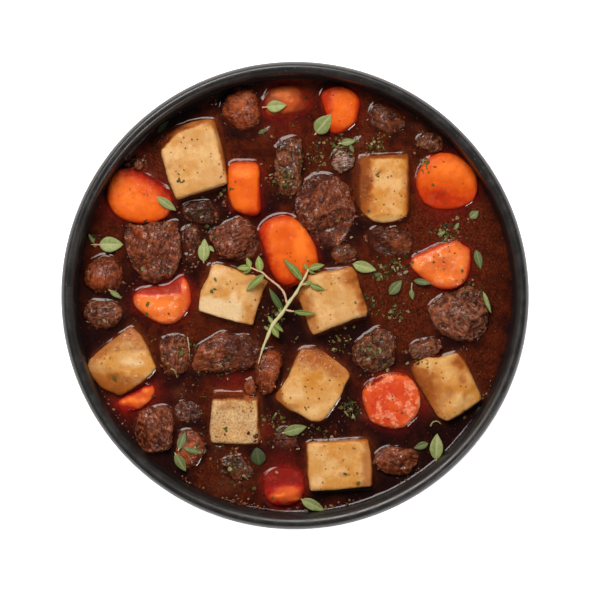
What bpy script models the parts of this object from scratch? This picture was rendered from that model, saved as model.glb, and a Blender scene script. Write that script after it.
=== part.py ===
"""Beef stew in a round, low, dark stoneware bowl: cubed potato, sliced carrot and chunks of beef
standing in a thick broth, with a sprig of thyme laid over the middle.

Metres, +Z up. The origin is the middle of the bowl's foot, on the surface that it stands on.
"""

import math
from collections import namedtuple

import bmesh
import bpy
from mathutils import Matrix, Vector, noise
from mathutils.bvhtree import BVHTree

MM = 0.001

# Driving dimensions of the bowl
RIM_RADIUS = 100 * MM
BOWL_HEIGHT = 58 * MM
WALL = 4.2 * MM
FLOOR_TOP = 8 * MM
FLOOR_CURVE = 28 * MM  # inner radius of the curve from the floor into the wall
WALL_LEAN = math.radians(8)  # how far the wall leans outwards from upright
LIP_RADIUS = WALL / 2
FOOT_OUTER = 57 * MM
FOOT_INNER = 50 * MM
BOWL_STEPS = 56

# Driving dimensions of the contents
BROTH_LEVEL = 42 * MM
GAP = 0.32 * MM  # kept between any two solids that touch
WALL_CLEARANCE = 1.3 * MM  # the broth that stays between a piece and the wall

# Worked out from those: the wall's inner line leans outwards through the curve's tangent point
CURVE_HEIGHT = FLOOR_TOP + FLOOR_CURVE
LIP_HEIGHT = BOWL_HEIGHT - LIP_RADIUS
LIP_CENTRE = RIM_RADIUS - LIP_RADIUS
WALL_NORMAL = Vector((math.cos(WALL_LEAN), 0, -math.sin(WALL_LEAN)))
CURVE_CENTRE = (
    LIP_CENTRE
    - (LIP_HEIGHT - CURVE_HEIGHT) * math.tan(WALL_LEAN)
    - (FLOOR_CURVE + LIP_RADIUS) / math.cos(WALL_LEAN)
)

# All lengths below are millimetres and all turns are degrees. x and y are the piece's middle, rise is how
# far the middle of its upper side stands over the broth, and dip leans that side down towards dip_to.
# A cut is a knife's cut through the block: the heading its face looks, and its reach from the middle.
Block = namedtuple("Block", "x y rise height dip_to dip cuts")
Coin = namedtuple("Coin", "x y rise long_radius short_radius thick turn dip_to dip")
Chunk = namedtuple("Chunk", "x y rise length width height turn")

POTATOES = (
    Block(-44.2, 57.8, 6.0, 21, 60, 4, ((133, 13.2), (107, 14.6), (12, 12.2), (287, 13.8), (200, 11.2))),
    Block(37.8, 46.6, 5.5, 20, 270, 2, ((3, 11.2), (93, 14.0), (184, 11.4), (272, 13.8))),
    Block(-27.4, 0.2, 5.5, 20, 250, 5, ((344, 12.0), (74, 10.6), (163, 12.6), (253, 11.2))),
    Block(16.6, -2.0, 5.5, 20, 160, 5, ((21, 12.4), (110, 11.8), (200, 12.2), (291, 11.8))),
    Block(-74.0, -28.8, 5.0, 19, 150, 5, ((32, 11.4), (133, 10.0), (178, 15.6), (226, 11.4), (309, 10.0))),
    Block(-26.4, -51.6, 2.2, 18, 92, 9, ((358, 10.2), (88, 11.8), (178, 10.2), (268, 11.8))),
    Block(7.9, -38.4, 5.5, 20, 150, 4, ((61, 12.4), (329, 10.8), (241, 12.2), (148, 11.4))),
    Block(66.1, -38.9, 4.2, 19, 205, 7, ((113, 11.8), (213, 10.4), (299, 12.2), (22, 10.9))),
    Block(19.3, -72.8, 5.5, 20, 10, 3, ((3, 13.8), (93, 10.8), (183, 13.6), (272, 10.4))),
)
BARREL = 1  # this potato keeps its round side, so its upright edges are cut round

CARROTS = (
    Coin(-65.5, 44.5, 1.8, 14.5, 13.8, 9, 20, 52, 12),
    Coin(-22.0, 46.5, 5.5, 11.5, 11.5, 12.5, 0, 0, 90),
    Coin(-3.6, 19.4, 4.6, 15.8, 11.6, 9, 116, 205, 11),
    Coin(-58.0, -0.6, 1.6, 12.6, 12.2, 8, 0, 88, 14),
    Coin(17.6, 80.6, 1.8, 11.5, 9.5, 9, 82, 170, 22),
    Coin(65.5, 48.8, 2.0, 13.0, 12.8, 9, 0, 262, 10),
    Coin(63.8, 12.8, 3.0, 13.2, 10.4, 10, 18, 130, 6),
    Coin(41.8, -45.2, 3.4, 12.9, 12.8, 9, 0, 160, 3),
    Coin(-68.0, -44.6, 1.8, 11.0, 11.0, 7.5, 0, 115, 90),
    Coin(-5.0, -81.5, 3.2, 8.8, 8.8, 18.0, 0, 90, 78),
    Coin(-4.6, 84.4, 0.4, 10.6, 8.6, 9, 5, 120, 6),
)

BEEF = (
    Chunk(12.6, 36.8, 6.0, 25, 31, 18, 12),
    Chunk(-61.8, 18.6, 6.0, 22, 25, 18, 14),
    Chunk(70.8, -8.6, 6.0, 26, 21, 18, -10),
    Chunk(-29.5, -24.0, 5.0, 28, 16, 16, 8),
    Chunk(-26.4, 24.2, 5.2, 21, 16, 16, 22),
    Chunk(34.2, -24.0, 4.8, 18, 17, 16, 20),
    Chunk(-61.0, -58.6, 5.0, 15, 19, 15, 8),
    Chunk(-23.8, 80.2, 4.4, 16, 16.5, 15, 20),
    Chunk(-83.2, 9.2, 4.0, 16.5, 14.5, 13, 12),
    Chunk(-82.6, -8.6, 3.8, 16.5, 11.5, 12, 4),
    Chunk(-2.6, 55.6, 4.2, 11.0, 24, 15, -6),
    Chunk(-51.9, -25.8, 4.4, 12.5, 17, 15, 6),
    Chunk(-11.2, -33.0, 5.0, 12, 19, 15, -8),
    Chunk(43.6, -71.6, 3.6, 19.5, 12, 14, -10),
    Chunk(-45.0, -66.6, 3.0, 12.5, 17, 14, -14),
    Chunk(41.6, 23.4, 2.4, 18, 13, 14, -8),
    Chunk(-41.2, 35.8, 1.8, 16, 10, 13, 6),
    Chunk(39.6, 77.0, 1.4, 15.5, 12.5, 13, -24),
    Chunk(56.4, -23.0, 2.6, 14, 8.5, 11, 16),
    Chunk(58.6, 66.8, 2.2, 11.5, 9, 11, -14),
    Chunk(21.2, 58.2, 2.6, 10.5, 9.5, 11, 10),
    Chunk(-46.4, -49.2, 1.4, 12.5, 9.5, 12, -6),
    Chunk(-25.6, -74.8, 1.6, 14, 10.5, 12, 10),
    Chunk(-4.2, -62.0, 0.8, 12, 9, 11, -12),
    Chunk(21.0, 17.8, 1.8, 10.5, 8.5, 10, 20),
    Chunk(-44.6, 24.6, 1.2, 8.5, 11.5, 10, -6),
    Chunk(-19.6, -39.4, 2.6, 5.5, 8.5, 9, -20),
)
LARGE_CHUNK = 17.5  # a chunk longer than this is worn along its upper edges too

STEM_RADIUS = 0.6
# The sprig's stems lie across the tops of the pieces: x, y and height over the broth
SPRIG_STEMS = (
    ((-15.8, -29.5, 6.2), (-13.9, -23.6, 6.6), (-10.6, -15.2, 6.9), (-6.6, -8.2, 7.1), (-2.4, -2.7, 7.3),
     (1.0, 2.2, 7.4), (3.8, 7.4, 7.4), (6.4, 12.4, 7.3)),
    ((-3.2, -3.6, 7.2), (-4.8, 0.8, 7.5), (-8.2, 5.0, 7.7), (-12.6, 8.4, 7.7), (-16.4, 10.9, 7.6),
     (-19.6, 12.4, 7.3)),
)
# x, y of a leaf's foot, which is moved onto the nearest stem, then its heading, length and breadth
SPRIG_LEAVES = (
    (-19.4, 12.4, 176, 5.5, 2.6),
    (-18.6, 12.0, 112, 4.5, 2.4),
    (-15.4, 10.8, 88, 6.2, 3.4),
    (-12.8, 8.2, 215, 9.5, 2.5),
    (6.2, 12.0, 12, 7.0, 3.2),
    (2.6, 6.0, 131, 11.0, 3.4),
    (2.8, 5.0, -8, 10.0, 2.4),
    (-0.6, -0.6, -28, 9.0, 2.5),
    (-8.6, -12.0, -38, 6.5, 3.0),
    (-9.6, -13.0, 150, 5.0, 2.2),
    (-6.4, -8.0, 118, 4.0, 1.8),
)
LEAF_THICKNESS = 0.9


def clear_scene():
    for old in list(bpy.data.objects):
        bpy.data.objects.remove(old)


def new_collection(name):
    made = bpy.data.collections.new(name)
    bpy.context.scene.collection.children.link(made)
    return made


def food_material(name, colour, roughness):
    made = bpy.data.materials.new(name)
    made.use_nodes = True
    shader = made.node_tree.nodes["Principled BSDF"]
    shader.inputs["Base Color"].default_value = (*colour, 1)
    shader.inputs["Roughness"].default_value = roughness
    shader.inputs["Metallic"].default_value = 0
    return made


def new_piece(name, mesh, material, collection):
    made = bpy.data.objects.new(name, mesh)
    mesh.materials.append(material)
    collection.objects.link(made)
    return made


def mesh_of(work, name):
    """Ends a bmesh and gives the mesh made of it."""
    made = bpy.data.meshes.new(name)
    work.to_mesh(made)
    work.free()
    return made


def set_bevel(piece, width, segments):
    bevel = piece.modifiers.new("rounded_edges", "BEVEL")
    bevel.width = width
    bevel.segments = segments
    bevel.limit_method = "ANGLE"
    bevel.angle_limit = math.radians(40)


def hewn(planes, across):
    """A block with flat faces, left when everything beyond each (outward direction, reach) is cut away."""
    work = bmesh.new()
    bmesh.ops.create_cube(work, size=across)
    for outward, reach in planes:
        found = bmesh.ops.bisect_plane(
            work,
            geom=list(work.verts) + list(work.edges) + list(work.faces),
            dist=across * 1e-6,
            plane_co=outward * reach,
            plane_no=outward,
            clear_outer=True,
        )
        rim = [part for part in found["geom_cut"] if isinstance(part, bmesh.types.BMEdge)]
        if rim:
            bmesh.ops.edgeloop_fill(work, edges=rim)
    bmesh.ops.recalc_face_normals(work, faces=work.faces)
    return work


def lean(turn, dip_to, dip):
    """Turns a piece about Z, then leans its top down towards the heading dip_to."""
    heading = math.radians(dip_to)
    across = Vector((-math.sin(heading), math.cos(heading), 0))
    return Matrix.Rotation(math.radians(dip), 4, across) @ Matrix.Rotation(math.radians(turn), 4, "Z")


def inner_radius(z):
    """The radius of the bowl's inner wall at height z."""
    tangent = CURVE_HEIGHT - FLOOR_CURVE * math.sin(WALL_LEAN)
    if z >= tangent:
        return LIP_CENTRE - LIP_RADIUS / math.cos(WALL_LEAN) - (LIP_HEIGHT - z) * math.tan(WALL_LEAN)
    drop = min(CURVE_HEIGHT - z, FLOOR_CURVE)
    return CURVE_CENTRE + math.sqrt(FLOOR_CURVE**2 - drop**2)


def arc(centre, radius, start, end, count):
    """Points (r, 0, z) on an arc about centre, from start to end in degrees, count steps."""
    x, z = centre
    angles = (math.radians(start + (end - start) * i / count) for i in range(count + 1))
    return [(x + radius * math.cos(a), 0, z + radius * math.sin(a)) for a in angles]


def turned(name, profile, material, collection, steps):
    """A solid turned about Z from a profile that runs down its outer side."""
    mesh = bpy.data.meshes.new(name)
    mesh.from_pydata(profile, [(i, i + 1) for i in range(len(profile) - 1)], [])
    piece = new_piece(name, mesh, material, collection)
    screw = piece.modifiers.new("turned", "SCREW")
    screw.steps = screw.render_steps = steps
    screw.use_merge_vertices = True
    screw.merge_threshold = 0.00001
    screw.use_smooth_shade = True
    return piece


def build_bowl(material, collection):
    lean_degrees = math.degrees(WALL_LEAN)
    curve = (CURVE_CENTRE, CURVE_HEIGHT)
    underside = FLOOR_TOP - WALL
    inside = [(0, 0, FLOOR_TOP)] + arc(curve, FLOOR_CURVE, -90, -lean_degrees, 3)
    lip = arc((LIP_CENTRE, LIP_HEIGHT), LIP_RADIUS, 180 - lean_degrees, -lean_degrees, 5)
    outside = arc(curve, FLOOR_CURVE + WALL, -lean_degrees, -80, 4)
    foot = [
        (FOOT_OUTER, 0, underside),
        (FOOT_OUTER - MM, 0, 0),
        (FOOT_INNER + MM, 0, 0),
        (FOOT_INNER, 0, underside),
        (0, 0, underside),
    ]
    return turned("bowl", inside + lip + outside + foot, material, collection, BOWL_STEPS)


def build_broth(material, collection):
    """The broth fills the bowl up to its level, before the pieces' pockets are cut in it."""
    bottom = FLOOR_TOP + GAP
    curve = arc((CURVE_CENTRE, CURVE_HEIGHT), FLOOR_CURVE - GAP, -math.degrees(WALL_LEAN), -90, 3)
    side = [(inner_radius(BROTH_LEVEL) - GAP, 0, BROTH_LEVEL)] + curve
    floor = [(0, 0, bottom)]
    return turned("broth", [(0, 0, BROTH_LEVEL)] + side + floor, material, collection, BOWL_STEPS)


def keep_in_bowl(piece):
    """Presses a piece in from the bowl's wall, as soft food gives way to it, and keeps its facets flat."""
    back = piece.matrix_world.inverted()
    work = bmesh.new()
    work.from_mesh(piece.data)
    pressed = False
    for point in work.verts:
        place = piece.matrix_world @ point.co
        across = Vector((place.x, place.y, 0))
        room = inner_radius(place.z) - WALL_CLEARANCE
        if across.length > room:
            moved = across * (room / across.length)
            point.co = back @ Vector((moved.x, moved.y, place.z))
            pressed = True
    if pressed:
        bmesh.ops.triangulate(work, faces=work.faces)
    work.to_mesh(piece.data)
    work.free()


def settle(piece, item, half, turning):
    """Puts a piece so that the middle of its upper side is at its rise over the broth."""
    lower = turning @ Vector((0, 0, half))
    piece.matrix_world = Matrix.Translation(
        (item.x * MM - lower.x, item.y * MM - lower.y, BROTH_LEVEL + item.rise * MM - lower.z)
    ) @ turning
    bpy.context.view_layer.update()
    keep_in_bowl(piece)


def build_potato(index, item, material, collection):
    """A hand-cut cube of potato: no side quite square, the edges worn round in the pot."""
    half = item.height / 2 * MM
    planes = [(Vector((0, 0, 1)), half), (Vector((0, 0, -1)), half)]
    for number, (heading, reach) in enumerate(item.cuts):
        angle = math.radians(heading)
        slope = 0.06 + 0.10 * noise.noise(Vector((index * 3.7, number * 1.9, 0.5)))
        planes.append((Vector((math.cos(angle), math.sin(angle), slope)).normalized(), reach * MM))
    work = hewn(planes, 60 * MM)
    if index == BARREL:
        upper = [e for e in work.edges if all(v.co.z > 0 for v in e.verts)]
        along = [e for e in upper if abs((e.verts[0].co - e.verts[1].co).normalized().y) > 0.9]
        bmesh.ops.bevel(work, geom=along, offset=7 * MM, segments=3, affect="EDGES", profile=0.5)
    piece = new_piece(f"potato_{index + 1:02d}", mesh_of(work, "potato"), material, collection)
    settle(piece, item, half, lean(0, item.dip_to, item.dip))
    set_bevel(piece, 1.3 * MM if index == BARREL else 2.0 * MM, 1 if index == BARREL else 2)
    return piece


def build_carrot(index, item, material, collection):
    """A slice of carrot. One that dips by a right angle or so stands on its edge in the broth."""
    work = bmesh.new()
    bmesh.ops.create_cone(work, cap_ends=True, segments=16, radius1=1, radius2=0.94, depth=1)
    for point in work.verts:
        around = Vector((point.co.x, point.co.y, 0)).normalized()
        uneven = 1 + 0.06 * noise.noise(around * 1.3 + Vector((0, 5.1 * index, 0)))
        point.co = Vector((
            point.co.x * uneven * item.long_radius * MM,
            point.co.y * uneven * item.short_radius * MM,
            point.co.z * item.thick * MM,
        ))
    piece = new_piece(f"carrot_{index + 1:02d}", mesh_of(work, "carrot"), material, collection)
    turning = lean(item.turn, item.dip_to, item.dip)
    if item.dip > 45:
        # The highest part of a standing slice is its rim, so it hangs by its radius
        height = BROTH_LEVEL + (item.rise - item.long_radius) * MM
        piece.matrix_world = Matrix.Translation((item.x * MM, item.y * MM, height)) @ turning
        bpy.context.view_layer.update()
        keep_in_bowl(piece)
    else:
        settle(piece, item, item.thick / 2 * MM, turning)
    set_bevel(piece, 0.8 * MM, 1)
    return piece


def build_beef(index, item, material, collection):
    """A chunk of stewed beef: a hewn block with worn corners, each face at its own slight angle."""
    corners = [(x, y, z) for z in (1, -1) for x in (1, -1) for y in (1, -1)]
    sides = [(1, 0, 0), (0, 1, 0), (-1, 0, 0), (0, -1, 0), (0, 0, 1), (0, 0, -1)]
    edges = [(1, 1, 0), (-1, 1, 0), (-1, -1, 0), (1, -1, 0)]
    if max(item.length, item.width) > LARGE_CHUNK:
        edges += [(1, 0, 1), (0, 1, 1), (-1, 0, 1), (0, -1, 1)]
    planes = []
    for number, way in enumerate(sides + edges + corners):
        reach = {1: 0.97, 2: 1.20, 3: 1.36}[sum(abs(part) for part in way)]
        seed = Vector((7.3 * index + 0.4, 2.7 * number, 0.3))
        outward = (Vector(way).normalized() + noise.noise_vector(seed) * 0.30).normalized()
        planes.append((outward, reach + 0.16 * noise.noise(seed * 1.7)))
    work = hewn(planes, 4)
    bmesh.ops.dissolve_limit(
        work, angle_limit=math.radians(1), verts=work.verts, edges=work.edges
    )
    half = Vector((item.length, item.width, item.height)) * MM / 2
    bmesh.ops.scale(work, vec=half, verts=work.verts)
    piece = new_piece(f"beef_{index + 1:02d}", mesh_of(work, "beef"), material, collection)
    settle(piece, item, half.z, lean(item.turn, 0, 0))
    return piece


def stem_mesh(route):
    """The solid of one stem: a round tube that runs through its route's points."""
    curve = bpy.data.curves.new("stem", "CURVE")
    curve.dimensions = "3D"
    curve.bevel_depth = STEM_RADIUS * MM
    curve.bevel_resolution = 1
    curve.use_fill_caps = True
    spline = curve.splines.new("POLY")
    spline.points.add(len(route) - 1)
    for point, (x, y, height) in zip(spline.points, route):
        point.co = (x * MM, y * MM, BROTH_LEVEL + height * MM, 1)
    guide = bpy.data.objects.new("stem", curve)
    bpy.context.scene.collection.objects.link(guide)
    bpy.context.view_layer.update()
    solid = bpy.data.meshes.new_from_object(guide.evaluated_get(bpy.context.evaluated_depsgraph_get()))
    bpy.data.objects.remove(guide)
    work = bmesh.new()
    work.from_mesh(solid)
    bmesh.ops.remove_doubles(work, verts=work.verts, dist=0.00001)
    work.to_mesh(solid)
    work.free()
    return solid


def foot_of_leaf(x, y):
    """The nearest place to x, y on the middle line of either stem."""
    there = Vector((x, y, 0))
    found = []
    for route in SPRIG_STEMS:
        for first, last in zip(route, route[1:]):
            start = Vector(first)
            run = Vector(last) - start
            flat = Vector((run.x, run.y, 0))
            share = (there - Vector((start.x, start.y, 0))).dot(flat) / flat.length_squared
            found.append(start + run * min(max(share, 0), 1))
    return min(found, key=lambda place: (Vector((place.x, place.y, 0)) - there).length)


def leaf_mesh(leaf):
    """A small pointed oval leaf, broadest a third of the way along, that lifts a little to its tip."""
    x, y, heading, length, breadth = leaf
    foot = foot_of_leaf(x, y)
    work = bmesh.new()
    bmesh.ops.create_uvsphere(work, u_segments=6, v_segments=4, radius=0.5)
    bmesh.ops.rotate(work, verts=work.verts, matrix=Matrix.Rotation(math.radians(90), 3, "Y"))
    for point in work.verts:
        along = point.co.x + 0.5
        point.co = Vector((
            (along * (length + 0.5) - 0.5) * MM,
            point.co.y * (1.25 - 0.5 * along) * breadth * MM,
            (point.co.z * LEAF_THICKNESS + 0.8 * along**2) * MM,
        ))
    turning = Matrix.Rotation(math.radians(heading), 4, "Z")
    place = Matrix.Translation((foot.x * MM, foot.y * MM, BROTH_LEVEL + foot.z * MM))
    bmesh.ops.transform(work, verts=work.verts, matrix=place @ turning)
    return mesh_of(work, "leaf")


def build_sprig(material, collection, helpers):
    """The thyme sprig: a main stem with one branch, and small leaves joined to both."""
    parts = [stem_mesh(route) for route in SPRIG_STEMS] + [leaf_mesh(leaf) for leaf in SPRIG_LEAVES]
    sprig = new_piece("thyme_sprig", parts[0], material, collection)
    for number, part in enumerate(parts[1:], 1):
        helper = make_helper(f"sprig_part_{number:02d}", part, helpers)
        join = sprig.modifiers.new(f"join_{number:02d}", "BOOLEAN")
        join.operation = "UNION"
        join.object = helper
    return sprig


def make_helper(name, mesh, helpers):
    helper = bpy.data.objects.new(name, mesh)
    helper.hide_render = True
    helper.display_type = "WIRE"
    helpers.objects.link(helper)
    return helper


def inflated(piece, helpers):
    """A helper that stands GAP proud of the piece's unrounded block all round, and cuts its pocket."""
    work = bmesh.new()
    work.from_mesh(piece.data)
    work.transform(piece.matrix_world)
    work.normal_update()
    moves = [point.normal * GAP * point.calc_shell_factor() for point in work.verts]
    for point, move in zip(work.verts, moves):
        point.co += move
    return make_helper(f"{piece.name}_pocket", mesh_of(work, "pocket"), helpers)


def tree_of(piece):
    work = bmesh.new()
    work.from_object(piece, bpy.context.evaluated_depsgraph_get())
    work.transform(piece.matrix_world)
    made = BVHTree.FromBMesh(work)
    work.free()
    return made


def cut(piece, cutter):
    """Cuts a piece by one helper, or by a whole collection of them."""
    pocket = piece.modifiers.new(f"cut_by_{cutter.name}", "BOOLEAN")
    pocket.operation = "DIFFERENCE"
    if isinstance(cutter, bpy.types.Collection):
        pocket.operand_type = "COLLECTION"
        pocket.collection = cutter
    else:
        pocket.object = cutter


def press_together(pieces, pockets):
    """Where two pieces would share room, the later one takes the earlier one's print."""
    trees = [tree_of(pocket) for pocket in pockets]
    for later in range(1, len(pieces)):
        for earlier in range(later):
            if trees[later].overlap(trees[earlier]):
                cut(pieces[later], pockets[earlier])
                print(f"{pieces[later].name} is pressed by {pieces[earlier].name}")


def build():
    clear_scene()
    noise.seed_set(4)  # the same uneven shapes each time
    stew = new_collection("beef_stew")
    holes = new_collection("holes")
    helpers = new_collection("helpers")
    holes.hide_render = helpers.hide_render = True

    stoneware = food_material("dark_stoneware", (0.032, 0.030, 0.030), 0.38)
    gravy = food_material("broth", (0.075, 0.018, 0.008), 0.15)
    potato = food_material("potato", (0.72, 0.42, 0.15), 0.35)
    carrot = food_material("carrot", (0.85, 0.17, 0.02), 0.28)
    meat = food_material("beef", (0.13, 0.045, 0.022), 0.42)
    herb = food_material("thyme", (0.30, 0.33, 0.12), 0.55)

    build_bowl(stoneware, stew)
    broth = build_broth(gravy, stew)
    pieces = [build_potato(i, item, potato, stew) for i, item in enumerate(POTATOES)]
    pieces += [build_beef(i, item, meat, stew) for i, item in enumerate(BEEF)]
    pieces += [build_carrot(i, item, carrot, stew) for i, item in enumerate(CARROTS)]
    bpy.context.view_layer.update()
    pockets = [inflated(piece, holes) for piece in pieces]
    bpy.context.view_layer.update()
    press_together(pieces, pockets)
    cut(broth, holes)
    build_sprig(herb, stew, helpers)


build()
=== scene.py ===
# %% [markdown]
# # Beef stew in a dark stoneware bowl
# The bowl and the stew come from a packed model, which fixes every size and place. This lesson gives each
# piece its real surface: torn beef, soft potato, glossy carrot and a thick broth that climbs a little way up
# whatever stands in it. Everything is mesh and shader nodes, with no picture files.

import math
import random

import bmesh
import bpy
import numpy as np
from mathutils import Matrix, Vector
from mathutils.bvhtree import BVHTree
from mathutils.geometry import delaunay_2d_cdt


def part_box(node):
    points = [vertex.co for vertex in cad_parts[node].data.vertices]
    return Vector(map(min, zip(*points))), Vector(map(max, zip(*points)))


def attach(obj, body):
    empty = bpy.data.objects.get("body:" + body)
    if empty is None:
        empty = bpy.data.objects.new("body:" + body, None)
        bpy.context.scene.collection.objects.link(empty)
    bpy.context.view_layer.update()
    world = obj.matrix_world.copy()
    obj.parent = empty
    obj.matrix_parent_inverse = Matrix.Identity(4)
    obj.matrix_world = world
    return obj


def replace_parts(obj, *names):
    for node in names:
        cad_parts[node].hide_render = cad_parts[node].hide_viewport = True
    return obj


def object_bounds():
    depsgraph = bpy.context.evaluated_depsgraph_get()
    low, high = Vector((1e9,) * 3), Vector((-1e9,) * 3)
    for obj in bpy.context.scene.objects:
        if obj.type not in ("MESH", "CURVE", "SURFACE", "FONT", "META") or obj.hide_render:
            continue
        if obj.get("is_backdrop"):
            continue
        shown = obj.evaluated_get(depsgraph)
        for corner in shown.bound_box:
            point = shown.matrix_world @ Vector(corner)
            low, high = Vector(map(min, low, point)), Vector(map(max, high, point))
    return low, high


MM = 0.001
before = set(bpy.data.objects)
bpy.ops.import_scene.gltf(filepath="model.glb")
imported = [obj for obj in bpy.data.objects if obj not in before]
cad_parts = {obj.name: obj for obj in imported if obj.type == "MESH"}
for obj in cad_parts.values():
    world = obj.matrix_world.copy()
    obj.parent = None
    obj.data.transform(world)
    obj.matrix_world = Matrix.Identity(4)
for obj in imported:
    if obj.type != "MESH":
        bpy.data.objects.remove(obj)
cad_box = [list(corner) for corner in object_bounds()]
BROTH_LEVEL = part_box("broth")[1].z
BOWL_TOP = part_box("bowl")[1].z
BOWL_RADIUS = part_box("bowl")[1].x
print(f"{len(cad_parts)} nodes, broth at {BROTH_LEVEL / MM:.1f} mm, bowl {2 * BOWL_RADIUS / MM:.0f} mm across")

# %% [markdown]
# ## Camera
# The bowl is looked at from straight above. A long lens a metre over the rim keeps the wall from leaning
# outwards in the picture, as it would with a wide lens close by.

# %% Camera over the bowl
CAMERA_HEIGHT = 1.0
VIEW_ACROSS = 0.2516  # what the picture's long side spans at the rim
camera_data = bpy.data.cameras.new("camera")
camera_data.sensor_width = 36
camera_data.lens = camera_data.sensor_width * CAMERA_HEIGHT / VIEW_ACROSS
camera = bpy.data.objects.new("camera", camera_data)
camera.location = (0, 0, BOWL_TOP + CAMERA_HEIGHT)
bpy.context.scene.collection.objects.link(camera)
bpy.context.scene.camera = camera
print(f"lens {camera_data.lens:.0f} mm at {camera.location.z:.2f} m")

# %% [markdown]
# ## Networks of nodes
# Light and materials are small networks of nodes. One class keeps them readable: it adds a node, fills its
# sockets from numbers, colours or other nodes, and has a short word for each node that is used often.


# %% A network of shader nodes
def per_metre(size_mm):
    """A texture's scale for features of this size in millimetres."""
    return 1 / (size_mm * MM)


class Network:
    """A tree of shader nodes, with short ways to add the ones that are used most."""

    def __init__(self, tree):
        self.tree = tree

    def fill(self, socket, value):
        """Links a socket to another node's output, or sets its own number or colour."""
        if isinstance(value, bpy.types.NodeSocket):
            self.tree.links.new(value, socket)
        elif isinstance(value, tuple) and socket.type == "RGBA":
            socket.default_value = (*value, 1)
        else:
            socket.default_value = value

    def add(self, kind, sockets=None, **settings):
        """A new node; sockets maps an input's name or number to its value."""
        made = self.tree.nodes.new(kind)
        for key, value in settings.items():
            setattr(made, key, value)
        for key, value in (sockets or {}).items():
            self.fill(made.inputs[key], value)
        return made

    def maths(self, operation, first, second):
        return self.add("ShaderNodeMath", {0: first, 1: second}, operation=operation).outputs[0]

    def times(self, first, second):
        return self.maths("MULTIPLY", first, second)

    def plus(self, first, second):
        return self.maths("ADD", first, second)

    def minus(self, first, second):
        return self.maths("SUBTRACT", first, second)

    def blend(self, share, first, second, how="MIX"):
        sockets = {0: share, 6: first, 7: second}
        return self.add("ShaderNodeMix", sockets, data_type="RGBA", blend_type=how).outputs[2]

    def spread(self, value, low, high, to_low=0.0, to_high=1.0):
        """Maps low..high to to_low..to_high along a smooth step."""
        sockets = {"Value": value, "From Min": low, "From Max": high, "To Min": to_low, "To Max": to_high}
        return self.add("ShaderNodeMapRange", sockets, interpolation_type="SMOOTHSTEP").outputs[0]

    def where(self):
        """The place on the object, in metres."""
        return self.add("ShaderNodeTexCoord").outputs["Object"]

    def noise(self, vector, scale, detail=2.0, roughness=0.5, output=0):
        sockets = {"Vector": vector, "Scale": scale, "Detail": detail, "Roughness": roughness}
        return self.add("ShaderNodeTexNoise", sockets).outputs[output]

    def attribute(self, name, output="Fac"):
        return self.add("ShaderNodeAttribute", attribute_name=name).outputs[output]

    def bump(self, height, strength, distance_mm):
        sockets = {"Height": height, "Strength": strength, "Distance": distance_mm * MM}
        return self.add("ShaderNodeBump", sockets).outputs[0]


print("a network can", ", ".join(word for word in vars(Network) if not word.startswith("_")))

# %% [markdown]
# ## Light
# A wet surface shows its lights as much as its colour. The light is soft and comes from low down all round,
# and the sky straight above is dark, so flat broth stays dark and only what slopes catches a pale line.
# One wide light behind the bowl does most of the work, and a narrow one in front to the right draws the thin
# bright lines on that side of the pieces.

# %% World, pale at the horizon and dark overhead
SKY_STOPS = ((0.0, (0.95, 0.95, 0.96, 1)), (0.80, (0.14, 0.14, 0.14, 1)))
world = bpy.data.worlds.new("studio")
bpy.context.scene.world = world
world.use_nodes = True
sky = Network(world.node_tree)
sky.tree.nodes.clear()
upwards = sky.add("ShaderNodeSeparateXYZ", {0: sky.add("ShaderNodeTexCoord").outputs["Generated"]}).outputs["Z"]
ramp = sky.add("ShaderNodeValToRGB", {"Fac": upwards})
ramp.color_ramp.interpolation = "EASE"
for stop, (position, colour) in zip(ramp.color_ramp.elements, SKY_STOPS):
    stop.position, stop.color = position, colour
background = sky.add("ShaderNodeBackground", {"Color": ramp.outputs["Color"], "Strength": 0.38})
sky.add("ShaderNodeOutputWorld", {"Surface": background.outputs[0]})
print("sky of", len(SKY_STOPS), "tones")


# %% Two softboxes
def heading_of(degrees):
    """The x and y of one step along a heading, in degrees from +X."""
    return math.cos(math.radians(degrees)), math.sin(math.radians(degrees))


def add_softbox(name, heading, elevation, distance, size, power, tint):
    """A rectangular light that looks at the bowl from a heading and an elevation."""
    light = bpy.data.lights.new(name, "AREA")
    light.shape = "RECTANGLE"
    light.size, light.size_y = size
    light.energy = power
    light.color = tint
    holder = bpy.data.objects.new(name, light)
    (east, north), (flat, high) = heading_of(heading), heading_of(elevation)
    way = Vector((flat * east, flat * north, high))
    holder.location = way * distance + Vector((0, 0, BROTH_LEVEL))
    holder.rotation_euler = way.to_track_quat("Z", "Y").to_euler()
    bpy.context.scene.collection.objects.link(holder)


add_softbox("key_behind", 112, 56, 1.1, (0.62, 0.48), 12.8, (1.0, 0.94, 0.89))
add_softbox("spark_front_right", 316, 38, 1.1, (0.26, 0.12), 3.4, (1.0, 0.95, 0.92))
bpy.context.scene.view_settings.view_transform = "Standard"
bpy.context.scene.view_settings.look = "None"
print("softboxes:", ", ".join(light.name for light in bpy.data.lights))

# %% [markdown]
# ## Shared effects
# Four effects turn up on nearly every food here. Colour drifts slowly from one tone to another. Specks of
# pepper and spice lie scattered in clusters. The sauce leaves a film that is thick at the waterline and
# breaks up above it. And every surface has a fine relief that catches the light. Each is a node group with
# named inputs and outputs, built once here and placed in a material with that material's own values.

# %% Group: colour drift
SOCKETS = {float: "NodeSocketFloat", tuple: "NodeSocketColor"}
WHITE, GREY = (1.0, 1.0, 1.0), (0.5, 0.5, 0.5)


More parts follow.
